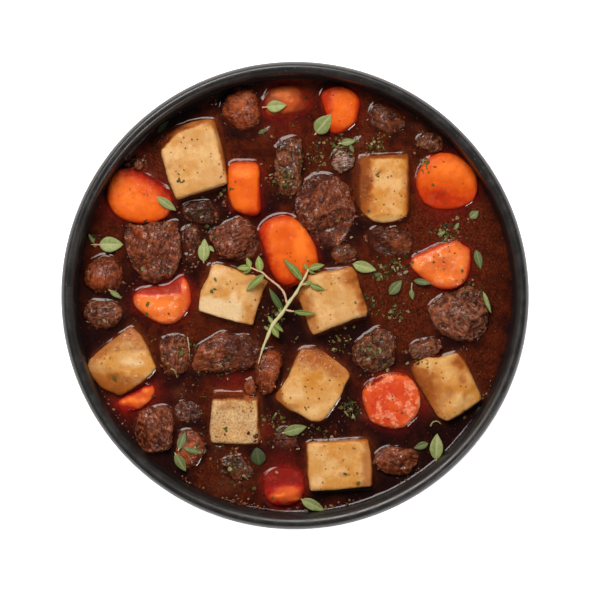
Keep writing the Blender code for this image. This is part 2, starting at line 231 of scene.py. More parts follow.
def start_group(name, inputs, outputs):
    """A shader node group: inputs maps names to default values, outputs maps names to float or tuple."""
    group = Network(bpy.data.node_groups.new(name, "ShaderNodeTree"))
    sides = group.tree.interface
    for key, value in inputs.items():
        socket = sides.new_socket(name=key, in_out="INPUT", socket_type=SOCKETS[type(value)])
        socket.default_value = (*value, 1) if isinstance(value, tuple) else value
    for key, kind in outputs.items():
        sides.new_socket(name=key, in_out="OUTPUT", socket_type=SOCKETS[kind])
    return group, group.add("NodeGroupInput").outputs


drift, given = start_group(
    "colour_drift",
    {"First": WHITE, "Second": GREY, "Scale": 100.0, "Low": 0.4, "High": 0.6, "Seed": 0.0},
    {"Colour": tuple, "Mask": float},
)
clouds = {"Vector": drift.where(), "W": given["Seed"], "Scale": given["Scale"], "Detail": 4.0, "Roughness": 0.6}
cloud = drift.add("ShaderNodeTexNoise", clouds, noise_dimensions="4D").outputs[0]
mask = drift.spread(cloud, given["Low"], given["High"])
drift.add("NodeGroupOutput", {"Mask": mask, "Colour": drift.blend(mask, given["First"], given["Second"])})
print("group:", drift.tree.name)

# %% Group: scattered specks
WOBBLE = (0.0006,) * 3  # how far a speck's outline strays, in metres
specks, given = start_group(
    "specks",
    {"Scale": 600.0, "Radius": 0.25, "Share": 0.2, "Cluster scale": 120.0, "Cluster": 0.5},
    {"Mask": float, "Tone": float},
)
where = specks.where()
wobble = specks.noise(where, 1400.0, output="Color")
bent = specks.add("ShaderNodeVectorMath", {0: wobble, 1: WOBBLE}, operation="MULTIPLY").outputs[0]
bent = specks.add("ShaderNodeVectorMath", {0: where, 1: bent}, operation="ADD").outputs[0]
cells = specks.add("ShaderNodeTexVoronoi", {"Vector": bent, "Scale": given["Scale"]})
tone = specks.add("ShaderNodeSeparateColor", {0: cells.outputs["Color"]}).outputs
size = specks.times(given["Radius"], specks.plus(tone[1], 0.4))
spot = specks.spread(specks.maths("DIVIDE", cells.outputs["Distance"], size), 1.0, 0.75)
clusters = specks.noise(where, given["Cluster scale"])
crowd = specks.spread(clusters, given["Cluster"], specks.plus(given["Cluster"], 0.15))
chosen = specks.maths("LESS_THAN", tone[0], specks.times(given["Share"], crowd))
specks.add("NodeGroupOutput", {"Mask": specks.times(spot, chosen), "Tone": tone[2]})
print("group:", specks.tree.name)

# %% Group: film of sauce over the waterline
film, given = start_group(
    "sauce_film",
    {"Level": BROTH_LEVEL, "Reach": 0.002, "Breakup": 350.0, "Uneven": 0.8},
    {"Mask": float},
)
position = film.add("ShaderNodeNewGeometry").outputs["Position"]
height = film.add("ShaderNodeSeparateXYZ", {0: position}).outputs[2]
ragged = film.times(film.minus(film.noise(film.where(), given["Breakup"], 3.0), 0.5), given["Uneven"])
over = film.maths("DIVIDE", film.minus(height, given["Level"]), given["Reach"])
film.add("NodeGroupOutput", {"Mask": film.spread(film.plus(over, ragged), 1.0, 0.0)})
print("group:", film.tree.name)

# %% Group: fine relief
relief, given = start_group(
    "fine_relief",
    {"Grain scale": 1500.0, "Pit scale": 700.0, "Pits": 0.5},
    {"Height": float},
)
where = relief.where()
grain = relief.noise(where, given["Grain scale"], 3.0)
pits = relief.add("ShaderNodeTexVoronoi", {"Vector": where, "Scale": given["Pit scale"]}, feature="SMOOTH_F1")
pits = relief.times(pits.outputs["Distance"], given["Pits"])
relief.add("NodeGroupOutput", {"Height": relief.plus(grain, pits)})
print("group:", relief.tree.name)

# %% [markdown]
# ## A finish is painted in layers
# A cook builds up colour in layers, and so does the class below. It starts a material, places the shared
# groups with sizes in millimetres, paints one colour after another over the first, and ends by feeding the
# shader. A wet food gets a clear coat with a smoother relief of its own, so it glints in small places.


# %% A finish made of layers
class Finish(Network):
    """A material being made: its network, its shader and the colour painted so far."""

    def __init__(self, name, colour=None):
        self.material = bpy.data.materials.new(name)
        self.material.use_nodes = True
        super().__init__(self.material.node_tree)
        self.shader = self.tree.nodes["Principled BSDF"]
        self.colour = colour

    def place(self, group, **sockets):
        """Puts a shared group in the material and gives its outputs; Pit_scale stands for Pit scale."""
        named = {key.replace("_", " "): value for key, value in sockets.items()}
        return self.add("ShaderNodeGroup", named, node_tree=group.tree).outputs

    def drift(self, size_mm, low, high, first=WHITE, second=GREY, seed=0.0):
        return self.place(drift, Scale=per_metre(size_mm), Low=low, High=high, First=first, Second=second, Seed=seed)

    def specks(self, size_mm, radius, share, cluster_mm, cluster):
        crowds = {"Cluster_scale": per_metre(cluster_mm), "Cluster": cluster}
        return self.place(specks, Scale=per_metre(size_mm), Radius=radius, Share=share, **crowds)["Mask"]

    def film(self, reach_mm, breakup_mm, uneven):
        return self.place(film, Reach=reach_mm * MM, Breakup=per_metre(breakup_mm), Uneven=uneven)["Mask"]

    def relief(self, grain_mm, pit_mm, pits):
        return self.place(relief, Grain_scale=per_metre(grain_mm), Pit_scale=per_metre(pit_mm), Pits=pits)["Height"]

    def paint(self, mask, colour, strength=None, how="MIX"):
        """Lays a colour over the one so far, where the mask says and as strongly as given."""
        share = mask if strength is None else self.times(mask, strength)
        self.colour = self.blend(share, self.colour, colour, how)

    def wet(self, normal, weight, roughness, glint_mm=1.7, swell_mm=0.75):
        """A clear coat whose relief is smoother than the food's own."""
        swell = self.noise(self.where(), per_metre(glint_mm), 1.5)
        self.feed(Normal=normal, Coat_Normal=self.bump(swell, 1.0, swell_mm))
        self.feed(Coat_Weight=weight, Coat_Roughness=roughness, Coat_IOR=1.50)

    def feed(self, **sockets):
        """Fills the shader's own sockets; Base_Color stands for Base Color."""
        for key, value in sockets.items():
            self.fill(self.shader.inputs[key.replace("_", " ")], value)

    def done(self, **sockets):
        """Ends the finish: the painted colour and the last sockets go to the shader."""
        self.feed(Base_Color=self.colour, **sockets)
        print("finish:", self.material.name)
        return self.material


print("a finish can also", ", ".join(word for word in vars(Finish) if not word.startswith("_")))

# %% [markdown]
# ## Floor
# The bowl stands on a plain white table that glows a little, as a light table does, so hardly any shadow is
# left round the foot and the outer side of the bowl picks up white from below.

# %% White table
bpy.ops.mesh.primitive_plane_add(size=6, location=(0, 0, -0.0002))
table = bpy.context.object
table.name = "table"
white = Finish("white_table", (0.9, 0.9, 0.9))
table.data.materials.append(white.done(Roughness=0.8, Emission_Color=WHITE, Emission_Strength=0.85))
table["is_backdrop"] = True

# %% [markdown]
# ## The bowl
# A potter turns a bowl, so it is made the same way: one profile, spun round the axis. The profile repeats the frame's
# own rounds with many more points, so that the lip shines along a clean line. Throwing leaves faint rings, and a matt
# black glaze is mottled and flecked with grey.

# %% The bowl's profile
WALL = 4.2 * MM
LEAN_DEGREES = 8
LEAN = math.radians(LEAN_DEGREES)
FLOOR_TOP, FLOOR_CURVE = 8 * MM, 28 * MM
FOOT_OUTER, FOOT_INNER = 57 * MM, 50 * MM
LIP = WALL / 2
CORNER_STEPS = 4  # in each softened corner of the foot
LIP_CENTRE = Vector((BOWL_RADIUS - LIP, BOWL_TOP - LIP))
CURVE_HEIGHT = FLOOR_TOP + FLOOR_CURVE
CURVE_RADIUS = LIP_CENTRE.x - (LIP_CENTRE.y - CURVE_HEIGHT) * math.tan(LEAN) - (FLOOR_CURVE + LIP) / math.cos(LEAN)
LEVEL_RADIUS = LIP_CENTRE.x - LIP / math.cos(LEAN) - (LIP_CENTRE.y - BROTH_LEVEL) * math.tan(LEAN)
# Radius and height (mm) of the lip, from the wall inside to the side outside: a full inner shoulder, a nearly
# flat top and a bevel
LIP_LINE = (
    (94, 46), (94.2, 52), (94.3, 54.8), (94.45, 56), (94.8, 56.8), (95.3, 57.35), (95.9, 57.72), (96.6, 57.93),
    (97.4, 58), (97.9, 57.93), (98.25, 57.72), (98.6, 57.36), (98.95, 56.9), (99.3, 56.35), (99.6, 55.75),
    (99.82, 55.05), (99.95, 54.2), (99.9, 53),
)


def arc(centre, radius, start, end, count):
    angles = (math.radians(start + (end - start) * i / count) for i in range(count + 1))
    return [(centre[0] + radius * math.cos(a), centre[1] + radius * math.sin(a)) for a in angles]


def soft_corner(before, corner, after, radius):
    """Rounds a corner of a profile with a short curve from one side to the other."""
    corner = Vector(corner)
    start = corner + (Vector(before) - corner).normalized() * radius
    end = corner + (Vector(after) - corner).normalized() * radius
    shares = [i / CORNER_STEPS for i in range(CORNER_STEPS + 1)]
    return [tuple(start.lerp(corner, s).lerp(corner.lerp(end, s), s)) for s in shares]


curve = (CURVE_RADIUS, CURVE_HEIGHT)
underside = FLOOR_TOP - WALL
outer_side = arc(curve, FLOOR_CURVE + WALL, -LEAN_DEGREES, -80, 22)
foot = [outer_side[-1], (FOOT_OUTER, underside), (FOOT_OUTER - MM, 0)]
foot += [(FOOT_INNER + MM, 0), (FOOT_INNER, underside), (0, underside)]
profile = [(radius * MM, FLOOR_TOP) for radius in (0, 20, 40)]
profile += arc(curve, FLOOR_CURVE, -90, -LEAN_DEGREES, 18) + [(LEVEL_RADIUS - 0.1 * MM, BROTH_LEVEL - 1 * MM)]
profile += [(radius * MM, height * MM) for radius, height in LIP_LINE] + outer_side
for k, rounding in enumerate((0.8, 0.7, 0.7, 0.8), 1):
    profile += soft_corner(foot[k - 1], foot[k], foot[k + 1], rounding * MM)
profile += [(0, underside)]
print(f"profile of {len(profile)} points, broth edge at {LEVEL_RADIUS / MM:.1f} mm")


# %% Turn the bowl
def write_attribute(mesh, name, values, kind="FLOAT", field="value"):
    """Keeps a value for each point, where a material can read it."""
    made = mesh.attributes.new(name, kind, "POINT")
    made.data.foreach_set(field, np.asarray(values, np.float32).ravel())


def new_mesh(name, points, faces):
    """A mesh of these points and faces, with every face turned outwards."""
    mesh = bpy.data.meshes.new(name)
    mesh.from_pydata(points, [], faces)
    work = bmesh.new()
    work.from_mesh(mesh)
    bmesh.ops.recalc_face_normals(work, faces=work.faces)
    work.to_mesh(mesh)
    work.free()
    return mesh


def new_object(name, mesh, material=None, smooth=True):
    """An object of this mesh, in the scene, with its one material if it is given."""
    if material:
        mesh.materials.append(material)
        mesh.shade_smooth() if smooth else mesh.shade_flat()
    made = bpy.data.objects.new(name, mesh)
    bpy.context.scene.collection.objects.link(made)
    return made


BOWL_STEPS = 180
turns = [2 * math.pi * i / BOWL_STEPS for i in range(BOWL_STEPS)]
points, rings, faces = [], [], []
for radius, height in profile:
    on_axis = radius < 1e-6
    rings.append([len(points) + (0 if on_axis else i) for i in range(BOWL_STEPS)])
    points += [(radius * math.cos(turn), radius * math.sin(turn), height) for turn in turns[: 1 if on_axis else None]]
for inner, outer in zip(rings, rings[1:]):
    for i in range(BOWL_STEPS):
        j = (i + 1) % BOWL_STEPS
        faces.append(list(dict.fromkeys((inner[i], outer[i], outer[j], inner[j]))))
bowl_mesh = new_mesh("stoneware_bowl", points, faces)
INSIDE_RADIUS, INSIDE_LOW = 94.35 * MM, 30 * MM
on_wall_inside = [math.hypot(x, y) < INSIDE_RADIUS and z > INSIDE_LOW for x, y, z in points]
write_attribute(bowl_mesh, "inside", on_wall_inside)
print(f"bowl: {len(faces)} faces")

# %% Black glaze
glaze = Finish("black_glaze")
mottle = glaze.drift(5, 0.35, 0.7, (0.013, 0.0125, 0.0125), (0.023, 0.022, 0.022))
glaze.colour = mottle["Colour"]
glaze.paint(glaze.specks(1.3, 0.3, 0.25, 20, 0.3), (0.075, 0.068, 0.062), 0.5)
height = glaze.add("ShaderNodeSeparateXYZ", {0: glaze.where()}).outputs[2]
throwing = {"W": glaze.times(height, per_metre(2.2)), "Scale": 1.0, "Detail": 2.0}
throwing = glaze.add("ShaderNodeTexNoise", throwing, noise_dimensions="1D").outputs[0]
bumps = glaze.plus(glaze.times(throwing, 0.6), glaze.times(glaze.relief(0.8, 1.5, 0.3), 0.25))
glaze_finish = glaze.done(
    Roughness=glaze.spread(mottle["Mask"], 0.0, 1.0, 0.30, 0.42),
    Normal=glaze.bump(bumps, 0.35, 0.12),
    Specular_IOR_Level=glaze.spread(glaze.attribute("inside"), 0.0, 1.0, 0.5, 0.10),
)
bowl = new_object("stoneware_bowl", bowl_mesh, glaze_finish)
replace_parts(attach(bowl, "root"), "bowl")

# %% [markdown]
# ## Noise for shaping
# Food has no ruled surfaces. Its lumps, fibres and torn edges are made by moving the points of a fine mesh
# in and out. Two kinds of noise do that here, both written with numpy so that thousands of points are done
# at once and every run gives the same shape: smooth rolling noise, and cells with creases between them.

# %% Noise helpers
CORNERS = [(x, y, z) for x in (0, 1) for y in (0, 1) for z in (0, 1)]
AROUND = [(x, y, z) for x in (-1, 0, 1) for y in (-1, 0, 1) for z in (-1, 0, 1)]


def lottery(cell, seed):
    """A repeatable number from 0 to 1 for each whole-number cell."""
    mixed = (cell[:, 0] * 73856093) ^ (cell[:, 1] * 19349663) ^ (cell[:, 2] * 83492791) ^ (seed * 374761393)
    mixed = ((mixed ^ (mixed >> 13)) & 0xFFFFFFFF) * 1274126177
    return ((mixed ^ (mixed >> 16)) & 0xFFFFFF) / 0xFFFFFF


def rolling(points, size_mm, seed, octaves=3):
    """Smooth noise, mostly within -1 to 1, whose widest swells are size_mm across."""
    total, amplitude, weight = np.zeros(len(points)), 1.0, 0.0
    for octave in range(octaves):
        scaled = points / (size_mm * MM) * 2**octave + 17.3 * seed + 5.1 * octave
        cell = np.floor(scaled).astype(np.int64)
        inside = scaled - cell
        fade = inside**3 * (inside * (inside * 6 - 15) + 10)
        value = np.zeros(len(points))
        for corner in CORNERS:
            share = np.prod(np.where(corner, fade, 1 - fade), axis=1)
            near = cell + corner
            offset = inside - corner
            for axis in range(3):
                value += share * (2 * lottery(near, 11 * seed + 3 * octave + axis) - 1) * offset[:, axis]
        total += amplitude * value * 1.7
        weight += amplitude
        amplitude *= 0.5
    return total / weight * 1.5


def creased(points, size_mm, seed):
    """0 in the creases between cells about size_mm wide, and rising towards 1 in their middles."""
    scaled = points / (size_mm * MM) + 9.7 * seed
    cell = np.floor(scaled).astype(np.int64)
    nearest, second = np.full(len(points), 9.0), np.full(len(points), 9.0)
    for step in AROUND:
        near = cell + step
        seedling = np.stack([lottery(near, 7 * seed + axis) for axis in range(3)], axis=1)
        away = np.linalg.norm(near + seedling - scaled, axis=1)
        second = np.minimum(second, np.maximum(nearest, away))
        nearest = np.minimum(nearest, away)
    return np.clip((second - nearest) * 1.6, 0, 1)


test_line = np.linspace((0, 0, 0), (0.05, 0.03, 0.01), 400)
print(f"rolling noise from {rolling(test_line, 5, 1).min():.2f} to {rolling(test_line, 5, 1).max():.2f}")

# %% [markdown]
# ## From outline to fine mesh
# Each piece of food starts as its own outline seen from above, built up to a block with a domed top in the
# place and height of its frame solid. Planes slice off the faces that a knife or the pot has given it. A
# voxel remesh then turns the block into small even squares, as a sculptor would before working on the
# surface. The helpers read and write all points as one array, relax them to soften the corners, and measure
# how far each point stands out from its surroundings.


# %% Outlines, blocks and cuts
PER_CORNER = 4  # points of a round outline for each of its corners
SPACING_MM = 0.5  # between the points of a straight-sided outline


def curve_point(a, b, c, d, t):
    """A place between b (t = 0) and c (t = 1), on a smooth curve that comes from a and goes on to d."""
    return 0.5 * (2 * b + (c - a) * t + (2 * a - 5 * b + 4 * c - d) * t**2 + (3 * b - a - 3 * c + d) * t**3)


def round_outline(corners):
    """A closed smooth curve through the corners, as an array of x and y in metres."""
    curve_points = []
    count = len(corners)
    for i in range(count):
        around = [np.array(corners[(i + k) % count]) for k in (-1, 0, 1, 2)]
        curve_points += [curve_point(*around, step / PER_CORNER) for step in range(PER_CORNER)]
    return np.array(curve_points) * MM


def soft_polygon(corners, rounding_mm):
    """A closed outline with straight sides and slightly rounded corners, in metres."""
    corners = np.array(corners, float)
    line_points = []
    for a, b in zip(corners, np.roll(corners, -1, axis=0)):
        count = max(2, int(np.linalg.norm(b - a) / SPACING_MM))
        line_points += [a + (b - a) * i / count for i in range(count)]
    outline = np.array(line_points)
    for _ in range(int(4 * (rounding_mm / SPACING_MM) ** 2)):
        outline = (outline * 2 + np.roll(outline, 1, axis=0) + np.roll(outline, -1, axis=0)) / 4
    return outline * MM


def ring_faces(rings, count):
    """Four-sided faces between rings of count points each, and a lid on both ends."""
    faces = []
    for i in range(rings - 1):
        for k in range(count):
            n = (k + 1) % count
            faces.append([i * count + k, i * count + n, (i + 1) * count + n, (i + 1) * count + k])
    return [*faces, list(range(count))[::-1], list(range((rings - 1) * count, rings * count))]


def block_mesh(outline, low, waist, top, squareness):
    """A closed block over an outline: upright from low to waist, then up to top, as a dome (2) or a block (5)."""
    middle = outline.mean(axis=0)
    rings = [(0.80, low), (0.97, low + 2 * MM), (1.0, waist)]
    for turn in (15, 30, 45, 58, 70, 80, 86):
        share = math.cos(math.radians(turn)) ** (2 / squareness)
        rings.append((share, waist + (top - waist) * math.sin(math.radians(turn)) ** (2 / squareness)))
    points = [(*(middle + (corner - middle) * share), z) for share, z in rings for corner in outline]
    mesh = bpy.data.meshes.new("block")
    mesh.from_pydata(points, [], ring_faces(len(rings), len(outline)))
    return mesh


def cut_block(mesh, cuts, top):
    """Slices off what lies over each plane: x, y of a point of its edge, the heading it falls to, its slope."""
    work = bmesh.new()
    work.from_mesh(mesh)
    for x, y, heading, slope, *_ in cuts:
        (east, north), (flat, steep) = heading_of(heading), heading_of(slope)
        way = Vector((east * steep, north * steep, flat))
        parts = work.verts[:] + work.edges[:] + work.faces[:]
        place = (x * MM, y * MM, top)
        found = bmesh.ops.bisect_plane(work, geom=parts, plane_co=place, plane_no=way, clear_outer=True)
        cut_edges = [part for part in found["geom_cut"] if isinstance(part, bmesh.types.BMEdge)]
        bmesh.ops.edgeloop_fill(work, edges=cut_edges)
    work.to_mesh(mesh)
    work.free()
    return mesh


test_outline = soft_polygon(((0, 0), (20, 0), (20, 10), (0, 10)), 0.9)
print(f"an outline of 20 x 10 mm gets {len(test_outline)} points")


# %% Fine meshes as arrays
def read_values(layer, field, width, kind=float):
    """A field of all points or edges, as an array with a row for each."""
    flat = np.empty(len(layer) * width, kind)
    layer.foreach_get(field, flat)
    return flat.reshape(-1, width)


def move_points(mesh, points):
    mesh.vertices.foreach_set("co", points.ravel())
    mesh.update()


def normals_of(mesh):
    return read_values(mesh.vertex_normals, "vector", 3, np.float32).astype(float)


def relaxed(values, edges, rounds, strength=0.5):
    """Each value moves towards the mean of its neighbours, several times over."""
    values = values.reshape(len(values), -1).copy()
    count = np.bincount(edges.ravel(), minlength=len(values))[:, None].clip(1)
    first, second = edges[:, 0], edges[:, 1]
    for _ in range(rounds):
        total = np.empty_like(values)
        for axis in range(values.shape[1]):
            total[:, axis] = np.bincount(first, values[second, axis], len(values))
            total[:, axis] += np.bincount(second, values[first, axis], len(values))
        values += strength * (total / count - values)
    return values


def even_mesh(mesh, name, voxel_mm):
    """A new object with the shape of a closed mesh, made of small even squares."""
    work = bmesh.new()
    work.from_mesh(mesh)
    bmesh.ops.remove_doubles(work, verts=work.verts, dist=1e-6)
    work.to_mesh(mesh)
    work.free()
    piece = new_object(name, mesh)
    remesh = piece.modifiers.new("even", "REMESH")
    remesh.mode = "VOXEL"
    remesh.voxel_size = voxel_mm * MM
    graph = bpy.context.evaluated_depsgraph_get()
    piece.data = bpy.data.meshes.new_from_object(piece.evaluated_get(graph))
    piece.modifiers.clear()
    piece.data.name = name
    return piece


def softened_piece(shape, name, voxel_mm, rounds, strength=0.5):
    """The even mesh of a shape, its edges, and its points with the corners relaxed."""
    piece = even_mesh(shape, name, voxel_mm)
    edges = read_values(piece.data.edges, "vertices", 2, np.int64)
    return piece, edges, relaxed(read_values(piece.data.vertices, "co", 3), edges, rounds, strength)


def push_in(mesh, points, normals, inward_mm):
    """Moves each point inwards along its normal, and gives the new places."""
    points = points - normals * (inward_mm * MM)[:, None]
    move_points(mesh, points)
    return points


def standing_out(points, edges, normals, rounds):
    """How far each point stands out (+) or in (-) from a smoothed copy, in millimetres."""
    return ((points - relaxed(points, edges, rounds)) * normals).sum(axis=1) / MM


print("mesh helpers ready")


# %% Shade of the faces
def along_heading(points, x, y, heading):
    """How far each point lies from x, y along a heading."""
    east, north = heading_of(heading)
    return (points[:, 0] - x) * east + (points[:, 1] - y) * north


def shade_of(points, cuts, patches, seed):
    """From -1, soaked dark and partly painted shade, to +1, pale and partly a painted highlight: each cut face fades
    to its own shade, then the patches are laid on.
    """
    shade = np.zeros(len(points))
    ragged = rolling(points, 2.6, seed + 300, 3)
    for x, y, heading, _, tone, fade in cuts:
        share = np.clip(along_heading(points / MM, x, y, heading) / fade + 0.25 + 0.35 * ragged, 0, 1)
        shade += (tone - shade) * share
    for x, y, across, up, tone in patches:
        away = ((points[:, 0] / MM - x) / across) ** 2 + ((points[:, 1] / MM - y) / up) ** 2
        share = np.clip(np.exp(-away) * (1 + 0.5 * ragged), 0, 1)
        shade += (tone - shade) * share
    return shade


def finish_piece(piece, node, material):
    piece.data.materials.clear()
    piece.data.materials.append(material)
    piece.data.shade_smooth()
    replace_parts(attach(piece, "root"), node)
    return piece


print("shading helpers ready")

# %% [markdown]
# ## Potato
# Potato cooked in stew keeps its cut faces but loses its sharp edges, and the corners crumble first. The
# flesh is pale and slightly see-through, so it gets a little subsurface scattering. Sauce soaks some faces
# orange-brown, more so at the waterline, in a ragged band. Worn edges, mealy grain, pepper and herbs are
# painted over that, and one potato is much grainier than the others.
# Part of the pale cream on some faces is a painted highlight, and part of the dark on soaked faces is painted shade.


# %% Potato finish
def make_potato(name, pale, golden, stain_and_shade, stain_reach, specks_share, haze):
    skin = Finish(name)
    shade = skin.attribute("shade")
    skin.colour = skin.drift(11, 0.40, 0.68, pale, golden)["Colour"]
    cloudy = skin.drift(3.2, 0.40, 0.70, WHITE, (0.90, 0.83, 0.70), 3.0)
    skin.paint(0.25, cloudy["Colour"], how="MULTIPLY")
    skin.paint(skin.drift(7.5, 0.42, 0.66, seed=15.0)["Mask"], (0.84, 0.54, 0.24), 0.65)
    yellow = skin.drift(3.6, 0.54, 0.72, seed=6.0)["Mask"]
    skin.paint(yellow, (0.68, 0.26, 0.030), 0.35)
    # Pale faces get cream, partly a painted highlight; soaked faces take the soak colour, partly painted shade, and
    # the darkest a painted shadow
    skin.paint(skin.spread(shade, 0.10, 0.95), (0.90, 0.64, 0.35))
    skin.paint(skin.spread(shade, -0.05, -0.70, 0.0, 0.9), stain_and_shade)
    skin.paint(skin.spread(shade, -0.60, -1.05), (0.105, 0.018, 0.005))
    edge = skin.spread(skin.attribute("edge"), 0.2, 0.9)
    skin.paint(skin.times(edge, skin.spread(yellow, 0.0, 1.0, 0.05, 0.4)), stain_and_shade)
    skin.paint(skin.film(stain_reach, 4, 1.3), stain_and_shade, 0.85)
    skin.paint(skin.film(1.8, 2, 0.8), (0.150, 0.022, 0.005), 0.95)
    skin.paint(skin.specks(1.9, 0.27, specks_share, 9, 0.42), (0.26, 0.09, 0.022), 0.75)
    skin.paint(skin.specks(1.7, 0.26, specks_share * 0.4, 12, 0.5), (0.20, 0.16, 0.04), 0.6)
    meal = skin.drift(0.85, 0.36, 0.62, (0.50, 0.43, 0.36), (1.10, 1.14, 1.24), 9.0)
    skin.paint(haze, meal["Colour"], how="MULTIPLY")
    bumps = skin.plus(skin.relief(0.8, 1.1, 0.7), skin.times(meal["Mask"], haze))
    wetness = skin.maths("MAXIMUM", skin.times(yellow, 0.8), skin.spread(shade, -0.3, -0.6, 0.0, 0.3))
    skin.wet(skin.bump(bumps, 0.6, 0.18), wetness, 0.08, 1.4, 0.65)
    skin.feed(Subsurface_Weight=0.12, Subsurface_Scale=0.002, Subsurface_Radius=(1.0, 0.55, 0.25))
    return skin.done(
        Roughness=skin.spread(cloudy["Mask"], 0.0, 1.0, 0.38, 0.55),
        Specular_IOR_Level=skin.spread(shade, -0.2, -0.7, 0.12, 0.03),
    )


# Name, pale and golden flesh, tone of the soak and painted shade, how far the soak reaches up (mm), share of specks,
# mealiness
pale_potato, golden_potato, grainy_potato, gilded_potato = (
    make_potato(*values)
    for values in (
        ("pale_potato", (0.67, 0.375, 0.145), (0.63, 0.30, 0.074), (0.40, 0.105, 0.012), 1.8, 0.32, 0.10),
        ("golden_potato", (0.68, 0.350, 0.100), (0.62, 0.245, 0.034), (0.36, 0.080, 0.008), 2.6, 0.45, 0.12),
        ("grainy_potato", (0.62, 0.39, 0.190), (0.59, 0.31, 0.090), (0.36, 0.075, 0.014), 2.0, 0.80, 0.62),
        ("gilded_potato", (0.69, 0.330, 0.074), (0.60, 0.215, 0.024), (0.36, 0.076, 0.007), 2.6, 0.45, 0.12),
    )
)
POTATO_FINISH = dict.fromkeys((3, 5, 7, 8, 9), golden_potato) | {2: gilded_potato, 6: grainy_potato}

# %% Outlines of the potatoes
# Corners of each piece seen from above (mm)
POTATO_OUTLINES = {
    1: (
        (-57.9, 62.2), (-57.6, 66.2), (-55, 69.3), (-50.4, 72.4), (-45, 74.6), (-40, 75.8), (-35, 75.8), (-33, 70),
        (-30.6, 60), (-28.8, 48.4), (-40, 44.9), (-51, 41.4), (-54.6, 50),
    ),
    2: (
        (26, 58), (28.6, 59.8), (48.8, 60.8), (49.3, 50), (49, 36), (47.2, 34), (43, 32.1), (38, 31.5), (33.6, 32.3),
        (29.6, 35.2), (26.6, 39), (25.8, 48),
    ),
    3: (
        (-36, 12.2), (-34, 13.6), (-30.5, 12.8), (-24, 10.6), (-16.6, 8.4), (-11.6, 6.2), (-13.6, 2.4), (-16.2, -5.2),
        (-18.2, -12.8), (-25, -11.2), (-30, -10), (-35.2, -8.4), (-41.6, -6.4), (-41.2, -3), (-40.6, 2), (-37.4, 7.6),
    ),
    4: (
        (5, 8.6), (9.8, 10.5), (16, 10.6), (20.8, 11.6), (24.4, 12.3), (26.8, 9), (27.8, 4), (29.5, -1), (31.4, -6.6),
        (30.2, -8.8), (25, -10), (20, -12.2), (15, -14), (10, -16.2), (7.8, -17), (6, -14), (4.8, -10), (3.3, -5),
        (1.2, -0.6), (3.2, 4),
    ),
    5: (
        (-70.6, -13.2), (-66.4, -17), (-63.3, -23), (-60.9, -29), (-59.8, -31), (-62.3, -34.1), (-66, -37.1),
        (-70, -39.9), (-75.4, -43.2), (-79.4, -41.6), (-84, -39.4), (-87.4, -35.2), (-89.4, -31), (-88.6, -28),
        (-85, -24.4), (-80, -20.4), (-75.6, -17),
    ),
    6: (
        (-35, -40.6), (-27, -39.8), (-18, -40.4), (-15.4, -46), (-14.8, -56), (-14.6, -63.6), (-21, -64),
        (-28, -63.8), (-36, -63.4), (-36.9, -58), (-36, -50),
    ),
    7: (
        (2.8, -22.8), (9.5, -22.6), (13.2, -24.8), (17.8, -28.4), (22.2, -31.8), (23.8, -34.4), (21.6, -38.2),
        (19.2, -44), (16.2, -48.6), (13.2, -52.4), (11, -54.1), (6.8, -53.9), (1.8, -50.9), (-3.2, -48.8), (-8, -45),
        (-8.2, -42.6), (-5.6, -39.4), (-2.8, -35), (-0.8, -30), (1, -26),
    ),
    8: (
        (50, -31.6), (52.4, -28.8), (57, -26.8), (62, -27), (66, -25.8), (70, -24.8), (72.8, -27.8), (75, -32),
        (77.8, -38), (80.7, -44.2), (79.2, -45.8), (75.1, -48.8), (70.6, -51.8), (66, -54.2), (62, -52.8),
        (59.6, -49), (56.6, -44), (53.6, -39), (51, -34.6),
    ),
    9: ((4.9, -63.6), (13, -63), (31.4, -62), (32.8, -70), (33.8, -82.2), (20, -83.4), (6.6, -84.1), (5.3, -75)),
}
# Faces that a knife or the pot has given the top: x, y of a point on the face's upper edge, the heading it falls
# towards, its slope, how dark (-1: soaked, partly painted shade) or pale (+1: pale flesh, partly a painted highlight)
# it is, and over how many millimetres that comes
POTATO_CUTS = {
    1: ((-33.2, 62, 14, 50, -0.8, 1.4), (-53.4, 66.2, 138, 44, -1.1, 1), (-46, 70.9, 113, 42, -1, 1.1)),
    2: (
        (34, 46, 180, 24, -0.75, 3.5), (28.6, 46, 180, 42, -1.1, 1.5), (45.6, 46, 0, 24, -0.35, 2),
        (47.8, 46, 0, 40, -0.9, 1), (38, 35, 270, 30, 0.4, 2), (38, 58.4, 90, 45, -0.8, 1),
    ),
    3: (
        (-31, -0.8, 262, 16, 0.75, 2.5), (-21.6, 0, 345, 22, -0.25, 4), (-15.8, 0, 345, 45, -0.5, 1.5),
        (-38, 6, 160, 30, -0.3, 1.5),
    ),
    4: ((8.6, 0, 190, 24, -0.55, 5), (15, 9.4, 102, 35, -0.6, 1.6), (25.5, 0, 15, 10, -0.2, 3)),
    5: (
        (-79.6, -24.8, 137, 26, -0.55, 3), (-77, -31.8, 247, 17, -0.35, 6), (-76, -38.6, 245, 34, -0.85, 3),
        (-64.5, -26, 28, 24, -0.3, 2), (-71, -18.6, 80, 20, -0.5, 3),
    ),
    6: ((-26, -45.6, 88, 46, -1.15, 1.6), (-16.6, -52, 0, 50, -1.1, 0.9)),
    7: (
        (9, -32, 70, 12, -0.7, 8), (12, -26.5, 70, 30, -1, 2), (18.4, -37, 25, 10, -0.3, 4),
        (-4.4, -43, 190, 30, -0.8, 1.8), (1, -49.6, 235, 38, -0.75, 1.4),
    ),
    8: (
        (60.6, -38, 205, 18, -0.75, 7), (53.6, -36, 205, 36, -0.95, 2.5), (74.2, -34, 28, 22, -0.3, 3),
        (64.6, -51, 240, 16, -0.4, 3),
    ),
    9: (
        (28.4, -73, 0, 9, -0.45, 3), (32.4, -73, 0, 48, -1, 0.8), (6.1, -73, 180, 48, -0.7, 0.8),
        (18, -63.6, 92, 48, -0.6, 0.8),
    ),
}
